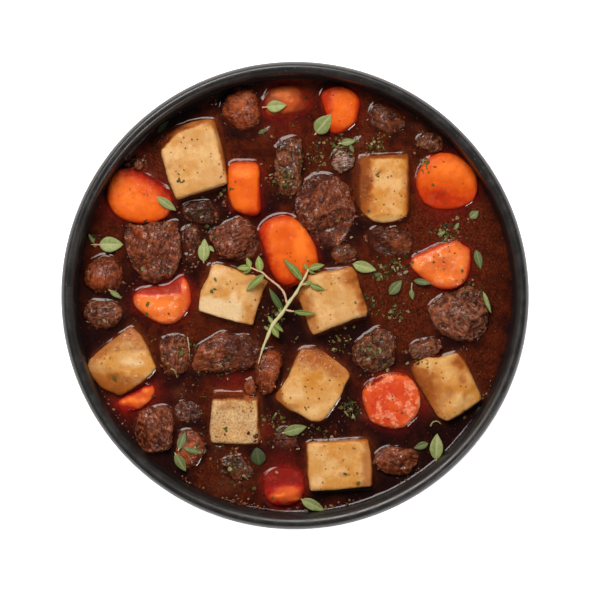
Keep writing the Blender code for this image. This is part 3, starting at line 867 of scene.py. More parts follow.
# x, y, half-widths and shade of patches on the faces: dark ones soaked, pale ones pale flesh and partly a painted
# highlight
POTATO_PATCHES = {
    1: (
        (-47, 67, 4, 3, 0.3), (-33, 57, 1.6, 1.2, -0.2), (-54, 55.5, 2, 1.6, -0.35), (-50, 49, 3, 3, -0.2),
        (-40, 50, 6, 4, 0.2), (-37, 74.4, 4, 2, -0.6), (-44, 73.8, 5, 1.6, -0.6), (-38, 66, 5, 4, 0.1),
    ),
    2: (
        (41.4, 44, 2.4, 10, 0.25), (42, 56, 4.5, 2.4, 0.15), (30, 47, 3, 6, -0.85), (36.5, 53, 2.5, 1.6, -0.4),
        (34, 38, 3, 3, -0.4),
    ),
    3: (
        (-26.2, -4, 2.6, 7, 0.95), (-36, -3.6, 5, 3, 1), (-33, 10, 6, 3, 0.6), (-27, 6, 5, 3, 0.35),
        (-33, 3, 4, 2.5, -0.3), (-22, 5.5, 3, 2, -0.4), (-13.5, 7, 3, 3, 0.4), (-37.4, 13.6, 3, 2.6, -0.45),
    ),
    4: (
        (16, -8, 5, 4, 0.15), (25.5, 7.5, 5.5, 4.5, -0.85), (29.2, -2, 3, 7, -0.85), (15, 8, 6, 2, -0.3),
        (8, -11, 1.4, 3, -0.5),
    ),
    5: (
        (-69.4, -28, 7, 3.6, 0.75), (-79, -22.6, 6, 3, -0.5), (-74, -37.5, 12, 3.6, -0.6), (-67.8, -22, 5, 4, -0.5),
        (-73, -16.4, 4, 3, -0.9), (-78, -34.6, 3.6, 1.5, -0.65), (-74, -17.5, 4, 2.4, -0.5),
        (-67, -36, 4, 2.6, -0.45),
    ),
    6: ((-26, -51, 6, 5, 0.15), (-30, -48, 5, 2, -0.35), (-19, -44, 3, 2, -0.6), (-20, -60, 5, 3, -0.15)),
    7: (
        (1, -43, 5, 4, 0.5), (8, -49, 5, 3, 0.35), (5.4, -27.6, 6.4, 4.6, -0.62), (18, -32.4, 4.5, 3.5, -0.58),
        (-1, -48, 4, 2.4, -0.45), (14, -43, 4, 5, 0.2),
    ),
    8: (
        (66, -35, 4, 5, 0.3), (71.5, -28.5, 4.5, 4, -0.8), (72.2, -36, 3, 3.4, -0.55), (65.5, -42, 3.6, 4, -0.55),
        (61.5, -41, 5, 9, -0.3), (56.8, -41.5, 4.6, 9, -0.8), (72.8, -43, 1.4, 3.4, -0.4),
        (63.2, -44.5, 1.8, 1.8, -0.4), (69, -47.5, 3, 2, 0.4), (57, -29.5, 4, 1.5, 0.1),
    ),
    9: (
        (9, -80, 4, 3, 0.6), (21, -77, 3.6, 1.3, -0.4), (26, -80.6, 3, 1, -0.4), (22, -68, 6, 4, 0.25),
        (30.6, -72, 2.6, 10, -0.5), (8.5, -66, 3, 3, 0.1),
    ),
}
print(f"{len(POTATO_OUTLINES)} potato outlines")


# %% Carve the potatoes
def cook_potato(number):
    node = f"potato_{number:02d}"
    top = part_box(node)[1].z
    cuts, patches = POTATO_CUTS[number], POTATO_PATCHES[number]
    outline = soft_polygon(POTATO_OUTLINES[number], 0.4)
    block = cut_block(block_mesh(outline, BROTH_LEVEL - 6 * MM, BROTH_LEVEL - 1 * MM, top, 14), cuts, top)
    piece, edges, points = softened_piece(block, f"cooked_potato_{number:02d}", 0.5, 1, 0.25)
    mesh = piece.data
    move_points(mesh, points)
    normals = normals_of(mesh)
    edge = np.clip(standing_out(points, edges, normals, 14) / 0.28, 0, 1)
    inward = 0.16 * rolling(points, 7, number) + 0.06 * rolling(points, 2.0, number + 20) - 0.16
    inward += edge * (0.02 + 0.45 * np.clip(rolling(points, 2.6, number + 40), -0.05, 1))
    push_in(mesh, points, normals, inward)
    write_attribute(mesh, "edge", edge)
    write_attribute(mesh, "shade", shade_of(points, cuts, patches, number))
    return finish_piece(piece, node, POTATO_FINISH.get(number, pale_potato))


def count_faces(pieces):
    return sum(len(piece.data.polygons) for piece in pieces)


potatoes = [cook_potato(number) for number in range(1, 10)]
print("potatoes:", count_faces(potatoes), "faces")

# %% [markdown]
# ## Carrot
# A slice of carrot shows a paler core inside a rim, with fine rays between them. Cooked, its faces turn
# smooth and wet, and where sauce covers them they turn from orange to deep red. The finish needs to know how
# far a point is from the slice's middle, so that is measured on the mesh and kept as an attribute.
# Pale wrinkled patches and streaks on some slices are partly painted highlights.


# %% Carrot finish
def make_carrot(name, flesh, bright, deep, streak_share, pale, film_reach=1.5, everywhere=1.0, torn=1.0, *, wetness):
    skin = Finish(name)
    rays, shade = skin.attribute("rays"), skin.attribute("shade")
    skin.colour = skin.drift(7, 0.35, 0.68, flesh, bright)["Colour"]
    from_middle = skin.plus(skin.attribute("from_middle"), skin.times(rays, 0.08))
    skin.paint(skin.spread(from_middle, 0.72, 1.02), deep, 0.60)
    # Toward +1 the flesh is painted bright orange, then pale in its wrinkles: pale flesh and partly a painted
    # highlight
    skin.paint(skin.spread(shade, 0.05, 0.80, 0.0, 0.8), (1.0, 0.24, 0.030))
    wrinkle = skin.drift(1.7, 0.42, 0.56, seed=12.0)["Mask"]
    dry_pale_and_highlight = skin.times(skin.spread(shade, 0.75, 1.0), skin.spread(wrinkle, 0.0, 1.0, 0.25, 1.0))
    skin.paint(dry_pale_and_highlight, pale, 0.8)
    skin.paint(skin.film(film_reach, 4, 0.7), deep, 0.7)
    skin.paint(skin.spread(shade, -0.05, -0.60), deep)
    skin.paint(skin.spread(shade, -0.40, -1.0), (0.230, 0.010, 0.006))
    # Pale streaks, partly painted glints
    streaks = skin.drift(4.2, 0.50, 0.58, seed=8.0)["Mask"]
    pale_streaks_and_glints = skin.times(streaks, skin.spread(wrinkle, 0.1, 0.7, 1 - torn, 1.0))
    pale_streaks_and_glints = skin.times(pale_streaks_and_glints, skin.spread(shade, 0.0, 0.6, everywhere, 1.0))
    skin.paint(pale_streaks_and_glints, pale, streak_share)
    skin.paint(skin.specks(1.7, 0.26, 0.16, 10, 0.5), (0.28, 0.05, 0.008), 0.65)
    rough_part = skin.plus(dry_pale_and_highlight, skin.times(pale_streaks_and_glints, streak_share))
    bumps = skin.plus(skin.times(skin.relief(1.4, 2.0, 0.5), 0.5), skin.times(rough_part, 1.5))
    bumps = skin.plus(bumps, skin.times(rays, 0.25))
    shiny = skin.times(wrinkle, skin.spread(shade, -0.2, -0.6, wetness, wetness * 0.2))
    skin.wet(skin.bump(bumps, 0.55, 0.22), shiny, 0.10, 1.9, 0.65)
    skin.feed(Subsurface_Weight=0.12, Subsurface_Scale=0.002, Subsurface_Radius=(1.0, 0.35, 0.10))
    return skin.done(
        Roughness=skin.spread(wrinkle, 0.0, 1.0, 0.34, 0.46),
        Specular_IOR_Level=skin.spread(shade, -0.2, -0.6, 0.03 + 0.3 * wetness, 0.02),
    )


SALMON = (0.92, 0.34, 0.16)
# Name, flesh, bright and deep tones, share of pale streaks, and the pale tone
bright_carrot = make_carrot(
    "bright_carrot", (0.72, 0.098, 0.008), (0.82, 0.150, 0.010), (0.56, 0.040, 0.006), 0.06, SALMON, wetness=0.08
)
mottled_carrot = make_carrot(
    "mottled_carrot", (0.68, 0.115, 0.016), (0.82, 0.205, 0.040), (0.58, 0.042, 0.010), 0.9, SALMON,
    everywhere=0.12, wetness=0.45,
)
sauced_carrot = make_carrot(
    "sauced_carrot", (0.62, 0.048, 0.012), (0.78, 0.100, 0.014), (0.78, 0.120, 0.012), 0.9, (0.90, 0.30, 0.15),
    wetness=0.45, torn=0.5,
)
red_carrot = make_carrot(
    "red_carrot", (0.58, 0.075, 0.018), (0.72, 0.120, 0.022), (0.46, 0.018, 0.014), 0.2, (0.95, 0.45, 0.22),
    everywhere=0.2, wetness=0.0,
)
deep_carrot = make_carrot(
    "deep_carrot", (0.36, 0.060, 0.014), (0.50, 0.085, 0.016), (0.20, 0.018, 0.006), 0.15, (0.80, 0.25, 0.09), 2.0,
    everywhere=0.2, wetness=0.2,
)
CARROT_FINISH = {4: mottled_carrot, 7: mottled_carrot, 8: sauced_carrot, 9: red_carrot, 10: red_carrot}
CARROT_FINISH |= {11: deep_carrot}

# %% Outlines of the carrots
# Corners of each slice seen from above (mm)
CARROT_OUTLINES = {
    1: (
        (-81.2, 45), (-80.6, 50), (-78, 53.6), (-74, 55.2), (-69.5, 54.4), (-65, 52.2), (-60, 49.2), (-55.4, 46),
        (-52.8, 41.5), (-53.8, 37.2), (-55.6, 33.8), (-60, 31.5), (-65, 30.8), (-70, 31.6), (-75.6, 33.4),
        (-79.2, 37), (-81, 41),
    ),
    2: (
        (-28.9, 55.6), (-27.2, 57.6), (-21, 57.7), (-16.2, 57.5), (-15.3, 55.4), (-15.2, 48), (-14.8, 41),
        (-14.8, 36), (-17.4, 34.3), (-22, 35), (-26.6, 37), (-28.6, 42), (-29.3, 49),
    ),
    3: (
        (-5, 34.6), (-0.8, 33.6), (3.3, 30.2), (6.3, 26.2), (8.8, 21.2), (10, 16), (9.6, 12.6), (6.2, 9.6), (3, 6.2),
        (0, 4.4), (-4, 4), (-7.4, 5.8), (-10.4, 10), (-12.4, 15), (-14, 21), (-15.5, 27), (-14.2, 30.4), (-10, 33.4),
    ),
    4: (
        (-69.9, -2), (-69.2, 0.7), (-66, 2.8), (-62, 3.6), (-58, 3.8), (-54, 4.8), (-51, 7.2), (-48.4, 8.3),
        (-46.2, 5.1), (-45, 1), (-45, -3), (-46.8, -7.2), (-50.4, -10.8), (-55, -12.6), (-60, -11.4), (-65, -8.6),
        (-68.8, -5.2),
    ),
    5: (
        (11.4, 87), (15, 89.7), (20, 90.3), (25, 88.4), (28, 84), (27.3, 79), (26.4, 75.3), (23.2, 72.2), (19, 70.2),
        (15.4, 70.6), (14.4, 74), (13.4, 78), (12, 82.5),
    ),
    6: (
        (52.3, 50), (53.7, 54.6), (56.8, 58.6), (61, 61), (65, 61.7), (69.6, 60.7), (73.8, 57.8), (77.3, 53.7),
        (78.9, 49), (78.5, 44.3), (76.2, 40.5), (71, 38.1), (65, 37.3), (59, 38.1), (54.8, 41.2), (52.7, 46),
    ),
    7: (
        (50, 13.8), (51.3, 16.8), (56, 18.9), (60, 21), (65, 22.6), (70, 23.9), (73, 21.6), (75.6, 19.8), (75.9, 14),
        (74.9, 8.8), (72.2, 4.7), (68, 2.6), (63, 2.8), (58, 5.2), (53.4, 8.8), (50.7, 11.3),
    ),
    8: (
        (29.2, -41), (31.6, -37.8), (36.5, -34.6), (41, -33.2), (46, -33.2), (50.2, -35.8), (52.8, -39.4),
        (54.4, -44), (53.9, -49), (51.3, -53.2), (47.6, -56.6), (43, -57.7), (37, -56.4), (32.8, -54.6), (30.5, -50),
        (29.2, -45),
    ),
    9: (
        (-77.6, -47), (-74, -43.4), (-69.4, -40.9), (-65.5, -38.6), (-61.8, -38.2), (-60.3, -41.4), (-62.6, -45.9),
        (-66.6, -49.2), (-71, -50.6), (-75.6, -49.6),
    ),
    10: (
        (-14.2, -79), (-10.5, -75.4), (-5, -73.6), (0.6, -75), (4, -78.6), (4.5, -84), (3, -88.2), (0, -90.6),
        (-5, -91.5), (-10, -90.8), (-13, -87), (-13.5, -83), (-14, -80),
    ),
    11: (
        (-13.6, 80), (-13.8, 84), (-12.2, 88), (-8, 90.8), (-3, 91.5), (2, 90.2), (5.6, 86.8), (7, 82.4), (4, 79.8),
        (-1, 78.2), (-7, 77.2), (-11.6, 77.4),
    ),
}
# Faces and patches, given as for the potatoes; on carrots -1 is deep red under sauce, and toward +1 the flesh turns
# bright orange, then pale, partly a painted highlight
CARROT_CUTS = {
    1: ((-66.5, 44.5, 60, 15, -1.1, 9), (-77.6, 40, 212, 30, -0.25, 1.2), (-66, 33, 275, 30, -0.5, 1.4)),
    2: (
        (-22, 37.6, 270, 24, -0.6, 3), (-22, 56.2, 90, 38, -0.45, 1), (-16.6, 47, 0, 40, -0.6, 1.2),
        (-27.8, 47, 180, 40, -0.3, 1.2),
    ),
    3: ((-8.5, 16, 195, 14, -0.85, 5), (-3, 10, 262, 12, -0.7, 5), (-6, 31.8, 120, 30, -0.5, 1.6)),
    4: ((-58, -0.6, 95, 18, -0.8, 2.6), (-47, -1, 352, 34, -0.35, 1.5), (-57, -10.4, 262, 34, -0.35, 1.4)),
    5: (
        (18, 81, 168, 12, -0.65, 6.5), (20, 86, 85, 18, -0.6, 4), (24.6, 78, 352, 24, -0.55, 2.2),
        (19, 73.6, 262, 26, -0.55, 2),
    ),
    6: ((65, 51, 265, 9, -0.55, 13), (76.4, 49, 0, 34, -0.3, 1.4)),
    7: (
        (61, 6.4, 240, 26, -0.45, 2), (67, 4.6, 280, 30, -0.7, 1.6), (73.6, 12, 350, 30, -0.75, 1.6),
        (57.5, 17.8, 118, 26, -0.55, 1.5),
    ),
    8: (
        (51.6, -45, 0, 30, 0.2, 1), (42, -55.4, 262, 30, 0.1, 1), (38, -36.8, 120, 30, -0.95, 1.4),
        (43, -35.2, 85, 30, -0.85, 1.6),
    ),
    9: ((-69, -43.4, 118, 32, -0.9, 1.8), (-69, -47.6, 250, 28, -0.6, 1.8)),
    10: ((-5, -87.5, 90, 17, -1.05, 9), (-5, -88, 270, 30, -0.6, 2)),
    11: ((0, 84, 0, 12, -0.6, 5), (-4, 80, 270, 14, -0.7, 3)),
}
CARROT_PATCHES = {
    1: ((-70, 42, 9, 7, 0.6), (-63, 44.5, 3, 1.5, -0.2)),
    2: ((-22, 52.6, 6, 2, 0.85), (-26.4, 56.2, 2.4, 1.2, -0.4)),
    3: ((2.5, 23, 4, 9, 0.7), (-6, 31, 4, 2, 0.3), (-2, 12, 5, 4, -0.3)),
    4: (
        (-61, -4, 5, 2.6, 0.9), (-54, -4, 4, 3, 0.85), (-47.6, 4.5, 1.4, 2.6, 0.6), (-57, -10, 6, 1.6, 0.6),
        (-66.5, -2.4, 2.6, 2.4, 0.6),
    ),
    5: ((20.8, 82, 3, 5, 0.35), (19, 73.5, 2.5, 1.5, -0.3)),
    6: ((66, 54, 10, 5, 0.6), (62, 43.4, 4, 2.6, -0.7), (75.5, 43, 2, 2, -0.4)),
    7: (
        (53, 14, 2.2, 2, 0.9), (57.5, 15.8, 2.4, 1.4, 0.85), (63, 17.8, 2.6, 1.6, 0.8), (68.5, 19.4, 2.6, 1.6, 0.8),
        (53, 12.4, 1.6, 2, 0.95), (64, 8, 8, 3, 0.6), (71, 15, 3, 4, 0.5),
    ),
    8: ((51, -37, 2, 3, 0.3),),
    9: ((-69, -45, 5, 1.4, 0.75), (-74, -46, 1.2, 1, 1), (-64.5, -41, 1.6, 1, 0.9)),
    10: ((-7, -86.3, 2.6, 0.7, 1), (-5, -85.4, 1.2, 0.8, 1), (1, -87.6, 2.2, 0.7, 1), (-3, -84, 5, 2, 0.2)),
    11: ((-6, 87, 4.5, 2.2, 0.6), (-2.4, 84.4, 3, 1.4, 0.4), (2, 80.5, 3, 2, -0.4), (-11, 80, 3, 3, 0.2)),
}
print(f"{len(CARROT_OUTLINES)} carrot outlines")


# %% Carve the carrots
SECTORS = 48
STRAIGHT_SIDED, SPLIT_LENGTHWISE, NEARLY_SUNK = (2, 8, 9), (2, 9), (10, 11)


def rim_by_angle(angle, radius):
    """The slice's outer radius in each of many sectors, for np.interp."""
    which = ((angle + math.pi) / (2 * math.pi) * SECTORS).astype(int) % SECTORS
    reach = np.array([radius[which == i].max() if np.any(which == i) else radius.max() for i in range(SECTORS)])
    reach = (np.roll(reach, 1) + reach + np.roll(reach, -1)) / 3
    return (np.arange(SECTORS) + 0.5) / SECTORS * 2 * math.pi - math.pi, reach


def cook_carrot(number):
    node = f"carrot_{number:02d}"
    top = max(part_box(node)[1].z, BROTH_LEVEL + 2.4 * MM)
    cuts, patches = CARROT_CUTS[number], CARROT_PATCHES[number]
    corners = CARROT_OUTLINES[number]
    outline = soft_polygon(corners, 0.7) if number in STRAIGHT_SIDED else round_outline(corners)
    dome = 2.6 if number in NEARLY_SUNK else 6
    block = cut_block(block_mesh(outline, BROTH_LEVEL - 5 * MM, BROTH_LEVEL - 1 * MM, top, dome), cuts, top)
    piece, _, points = softened_piece(block, f"cooked_carrot_{number:02d}", 0.58, 5)
    mesh = piece.data
    move_points(mesh, points)
    normals = normals_of(mesh)
    flat = points[:, :2] - outline.mean(axis=0)
    radius, angle = np.linalg.norm(flat, axis=1), np.arctan2(flat[:, 1], flat[:, 0])
    side = 1 - np.abs(normals[:, 2])
    share = radius / np.interp(angle, *rim_by_angle(angle, radius))
    around = np.stack([np.cos(angle), np.sin(angle), share * 0.4], axis=1) * 10 * MM
    rays = rolling(around, 1.6, number + 60, 2) * np.clip(share * 1.6, 0, 1)
    inward = 0.12 * rolling(points, 7, number + 70) + side * 0.15 * rolling(points, 4, number + 80) - 0.10
    inward += 0.05 * np.exp(-(((share - 0.47) / 0.06) ** 2)) * (1 - side)
    push_in(mesh, points, normals, inward)
    write_attribute(mesh, "from_middle", share * (0.5 if number in SPLIT_LENGTHWISE else 1))
    write_attribute(mesh, "rays", rays * (1 - side))
    write_attribute(mesh, "shade", shade_of(points, cuts, patches, number + 30))
    return finish_piece(piece, node, CARROT_FINISH.get(number, bright_carrot))


carrots = [cook_carrot(number) for number in range(1, 12)]
print("carrots:", count_faces(carrots), "faces")

# %% [markdown]
# ## Beef
# Braised beef pulls apart along its fibres, and no two chunks have the same outline. Each chunk is built up
# from its own outline and gets a few sloping torn faces. After the remesh, noise does the tearing: stretched
# along the chunk's fibre direction it gives strands on the sides and a crumb of strand ends on the top.
# Strands that stand out are painted lighter, a painted highlight, and the creases between the bundles are painted
# darker, a painted shade.


# %% Beef finish
def deeper(colour, red, rest):
    """The same colour with less light in it: a share of its red, and of its green and blue."""
    return colour[0] * red, colour[1] * rest, colour[2] * rest


def make_beef(name, dark, mid, light, rough, herb_share, wetness):
    meat = Finish(name)
    raised, shade = meat.attribute("raised"), meat.attribute("shade")
    meat.colour = meat.drift(3, 0.30, 0.70, mid, dark)["Colour"]
    uneven = meat.drift(6, 0.40, 0.62, (0.36, 0.28, 0.28), (1.45, 1.55, 1.60), 5.0)
    meat.paint(0.7, uneven["Colour"], how="MULTIPLY")
    strands = meat.noise(meat.attribute("fibre", "Vector"), per_metre(0.62), 3.0, 0.7)
    meat.paint(meat.spread(strands, 0.52, 0.66, 0.0, 0.75), light)
    meat.paint(meat.spread(strands, 0.47, 0.32, 0.0, 0.8), deeper(dark, 0.30, 0.25))
    # Painted shade in the hollows and a painted highlight on what stands out
    meat.paint(meat.spread(raised, 0.00, -0.14, 0.0, 0.65), deeper(dark, 0.35, 0.28))
    meat.paint(meat.spread(raised, 0.02, 0.14, 0.0, 0.35), light)
    # Orange-brown glaze at the pale end of the shade, partly a painted highlight
    glaze_and_highlight = meat.blend(uneven["Mask"], (0.20, 0.030, 0.008), (0.56, 0.135, 0.036))
    meat.paint(meat.spread(shade, 0.05, 0.95, 0.0, 0.75), glaze_and_highlight)
    meat.paint(meat.spread(shade, -0.05, -0.95, 0.0, 0.8), deeper(dark, 0.5, 0.4))
    meat.paint(meat.specks(0.75, 0.34, 0.5, 4, 0.38), light, 0.3)
    # Pits painted dark, a painted shade in each pit
    shaded_pits = meat.specks(1.0, 0.32, 0.5, 3, 0.40)
    meat.paint(shaded_pits, deeper(dark, 0.3, 0.25), 0.3)
    meat.paint(meat.film(2.2, 3, 1.3), (0.045, 0.008, 0.004), 0.85)
    meat.paint(meat.specks(1.2, 0.28, herb_share, 7, 0.42), (0.19, 0.14, 0.045), 0.6)
    bumps = meat.plus(meat.relief(0.7, 0.9, 0.7), meat.times(strands, 1.2))
    bumps = meat.minus(bumps, meat.times(shaded_pits, 0.5))
    runny = meat.drift(3.2, 0.42, 0.60, seed=17.0)["Mask"]
    meat.wet(meat.bump(bumps, 0.8, 0.30), meat.times(runny, wetness), 0.06, 1.25, 0.7)
    return meat.done(Roughness=meat.spread(strands, 0.35, 0.65, rough, rough + 0.16), Specular_IOR_Level=0.15)


# Name, dark, middle and light tones, roughness, share of herb specks, wetness
brown_beef, red_beef, grey_beef, dark_beef, sunk_beef, pale_beef_painted_sheen = (
    make_beef(*values)
    for values in (
        ("brown_beef", (0.088, 0.0145, 0.0048), (0.195, 0.037, 0.0105), (0.43, 0.130, 0.052), 0.40, 0.20, 0.8),
        ("red_beef", (0.120, 0.0165, 0.0042), (0.235, 0.042, 0.0100), (0.48, 0.125, 0.042), 0.26, 0.10, 0.6),
        ("grey_beef", (0.074, 0.0165, 0.0072), (0.165, 0.0410, 0.0150), (0.44, 0.160, 0.078), 0.40, 0.12, 0.8),
        ("dark_beef", (0.050, 0.0105, 0.0043), (0.125, 0.0290, 0.0100), (0.35, 0.122, 0.046), 0.34, 0.45, 0.9),
        ("sunk_beef", (0.058, 0.0100, 0.0035), (0.115, 0.0225, 0.0068), (0.26, 0.076, 0.027), 0.24, 0.25, 0.6),
        # the pale chunk's light tones stand partly for a painted sheen
        ("pale_beef_painted_sheen", (0.130, 0.055, 0.036), (0.260, 0.120, 0.082), (0.60, 0.40, 0.31), 0.30, 0.10, 1.0),
    )
)

# %% Outlines of the beef
# Corners of each chunk seen from above (mm)
BEEF_OUTLINES = {
    1: (
        (1, 42.5), (4, 48.5), (8.5, 51.8), (13, 52.4), (18, 50.5), (22.5, 47.5), (25.5, 42), (25.8, 36), (24, 30.5),
        (21.5, 25), (17, 21.3), (11, 21.6), (8.8, 24.5), (5.5, 29), (2, 32.5), (0.2, 37.5),
    ),
    2: (
        (-73.3, 27.5), (-72, 30), (-66, 29.5), (-60, 31), (-55, 31), (-51, 31.5), (-50.5, 27), (-50, 21), (-50.4, 16),
        (-51.5, 11.5), (-55, 8), (-60.5, 6.2), (-65, 7), (-69, 11.5), (-70.5, 16), (-72.5, 21),
    ),
    3: (
        (58, -6), (60, -2.5), (65, 0.3), (70, 0.8), (73, 3), (77, 3), (80.5, 1), (82.5, -4), (83.2, -9), (82, -14),
        (79.5, -17.5), (77, -19), (70, -18.5), (65, -16.5), (61, -13.5), (58.5, -9),
    ),
    4: (
        (-44.4, -28.8), (-42.6, -25), (-39.8, -22), (-36.8, -19), (-32, -17.2), (-26, -17.2), (-20, -18),
        (-16.8, -18.6), (-15.8, -22), (-16, -28), (-17.5, -31), (-23, -32), (-30, -31.4), (-34, -32.6), (-39, -32.8),
        (-43.4, -32),
    ),
    5: (
        (-37, 26.5), (-33, 29.5), (-28, 32), (-23, 33.4), (-19.5, 31), (-16.7, 26), (-15.4, 21), (-16.5, 16.8),
        (-22, 15.5), (-27, 16.4), (-32.5, 17.5), (-34.5, 21.5),
    ),
    6: (
        (25.2, -22.4), (27.8, -19.6), (32, -17.4), (36, -14.8), (40, -15.2), (42.5, -17.8), (43, -22.5), (42.6, -27),
        (40, -30.5), (35, -32.2), (30, -32.4), (27.5, -30.5), (25.4, -27),
    ),
    7: (
        (-68.3, -55), (-67, -51), (-63, -48.8), (-58.5, -48.6), (-54.5, -49), (-53.4, -52), (-53.2, -58),
        (-53.4, -63), (-56, -65.8), (-61, -67), (-65, -66.8), (-67.5, -63.5), (-68.6, -59),
    ),
    8: (
        (-31, 83), (-28.8, 87), (-24.5, 89.6), (-19.5, 89.4), (-16.2, 86), (-15, 80.5), (-15.5, 75.5), (-18, 73),
        (-23, 72), (-28, 73.5), (-31, 77),
    ),
    9: (
        (-90.8, 9.2), (-88.5, 13.5), (-84, 16.2), (-79, 16.4), (-76.3, 13), (-75, 8), (-75.8, 4.4), (-79, 2.5),
        (-84, 1.9), (-88, 3.2), (-90.2, 6),
    ),
    10: (
        (-90.4, -6.6), (-88, -3.8), (-83, -2.9), (-78, -3.3), (-75.2, -5.8), (-74.8, -9.5), (-77, -12.6), (-82, -14),
        (-87, -13.2), (-90, -10.5),
    ),
    11: (
        (-8, 63.5), (-6, 66.8), (-1.5, 67.5), (2, 66), (3.2, 62), (2.6, 57), (1.6, 51), (2.2, 47.5), (0.8, 44.2),
        (-3, 43.6), (-6.5, 45), (-7.8, 49), (-8.2, 55), (-7.5, 60),
    ),
    12: (
        (-57.8, -20.5), (-56.4, -18), (-52, -17.5), (-47.4, -18), (-45.8, -23), (-46.2, -29), (-48, -33), (-52, -34),
        (-56, -33.5), (-57.3, -29.5), (-58, -25),
    ),
    13: (
        (-16.8, -29), (-14.5, -25), (-11, -23.6), (-7.4, -24.2), (-5.6, -27.5), (-6.4, -31), (-8.2, -35),
        (-8.8, -39.5), (-12, -42), (-15.5, -40.5), (-16.8, -35),
    ),
    14: (
        (34.2, -70.5), (36, -67), (39.5, -66), (45, -66.4), (50, -67.3), (53, -69.3), (52, -73), (49.5, -76.6),
        (46, -77), (41, -76.5), (37, -75.5), (34.8, -73.5),
    ),
    15: (
        (-50, -60), (-46, -58.4), (-42, -59.5), (-39.4, -62.5), (-38.9, -66), (-41, -70), (-43.6, -73.8), (-47, -75),
        (-50, -72), (-51, -66),
    ),
    16: (
        (32.8, 28.2), (36, 29.6), (40, 28.6), (45, 28.8), (49.6, 27.4), (50.6, 23), (49, 19), (45.5, 17.2),
        (39.5, 17.4), (34.4, 19.4), (32.6, 23.4),
    ),
    17: (
        (-48.6, 37.4), (-45, 39.5), (-40, 40.6), (-36, 39.6), (-33.6, 36), (-33.4, 32.6), (-36.6, 31), (-41, 31),
        (-45, 32.4), (-48.4, 34.4),
    ),
    18: (
        (32.4, 79.4), (35, 82.4), (39, 82.4), (43, 80.4), (46.8, 76.4), (46.6, 72.6), (43, 71), (38, 71.4),
        (34, 73.4), (32, 76.4),
    ),
    19: (
        (49.5, -24.5), (51.5, -21), (55.5, -19.3), (60, -19), (63, -20.8), (63, -23.6), (59, -26), (54.5, -27.2),
        (51.3, -27.4),
    ),
    20: ((52.8, 67.5), (55.5, 70.4), (60, 70), (63.6, 67.4), (64.2, 64), (62, 62.4), (57.4, 62.6), (53.8, 64)),
    21: (
        (16.4, 59.8), (18.6, 62.4), (22.4, 62.6), (25.4, 60.6), (26, 57.2), (23.6, 54.4), (19.4, 53.8), (16.6, 55.8),
    ),
    22: (
        (-52.4, -49), (-50.5, -46), (-47, -44.9), (-43, -46), (-40.6, -49.5), (-41.4, -52.8), (-45, -53.7),
        (-49, -53.6), (-51.8, -52),
    ),
    23: (
        (-32.2, -72), (-29.5, -70.2), (-25, -69.7), (-20.5, -71.2), (-18.7, -75), (-20.4, -78.4), (-25, -79.8),
        (-29.5, -78.6), (-32, -75.5),
    ),
    24: ((-9.8, -60.4), (-6.4, -58), (-1.6, -58), (1.5, -60.6), (1.4, -64), (-2.4, -66.3), (-7.6, -65.8)),
    25: ((15.9, 18.2), (18.6, 21), (22.6, 22), (26, 19.8), (26.2, 16), (22.6, 14), (18.2, 14.4)),
    26: ((-48.6, 25.6), (-46.6, 29.4), (-43, 30), (-40.6, 26), (-41.2, 21), (-44.6, 19.2), (-47.8, 21.2)),
    27: ((-22.2, -40.4), (-20.4, -36.8), (-17.8, -35.8), (-17, -39.6), (-17.4, -43.2), (-19.8, -43.4)),
}
# The heading of its fibres, its finish, and how round its top is (2 a dome, 5 a block)
BEEF_LOOKS = {
    1: (100, brown_beef, 4.1), 2: (70, brown_beef, 5.4), 3: (-35, grey_beef, 4.3), 4: (15, brown_beef, 4.7),
    5: (25, brown_beef, 5.4), 6: (60, dark_beef, 4.1), 7: (110, brown_beef, 5.4), 8: (150, red_beef, 3.2),
    9: (80, red_beef, 3.1), 10: (-8, grey_beef, 3.5), 11: (95, dark_beef, 3.8), 12: (85, brown_beef, 4.3),
    13: (80, red_beef, 4.1), 14: (-12, brown_beef, 4.6), 15: (120, red_beef, 3.4), 16: (10, sunk_beef, 3.2),
    17: (20, sunk_beef, 3.2), 18: (-40, sunk_beef, 3.0), 19: (20, grey_beef, 3.5), 20: (60, dark_beef, 3.2),
    21: (10, pale_beef_painted_sheen, 3.5), 22: (45, dark_beef, 3.1), 23: (20, sunk_beef, 3.2), 24: (0, sunk_beef, 3.1),
    25: (30, dark_beef, 3.2), 26: (80, sunk_beef, 3.1), 27: (70, red_beef, 4.1),
}
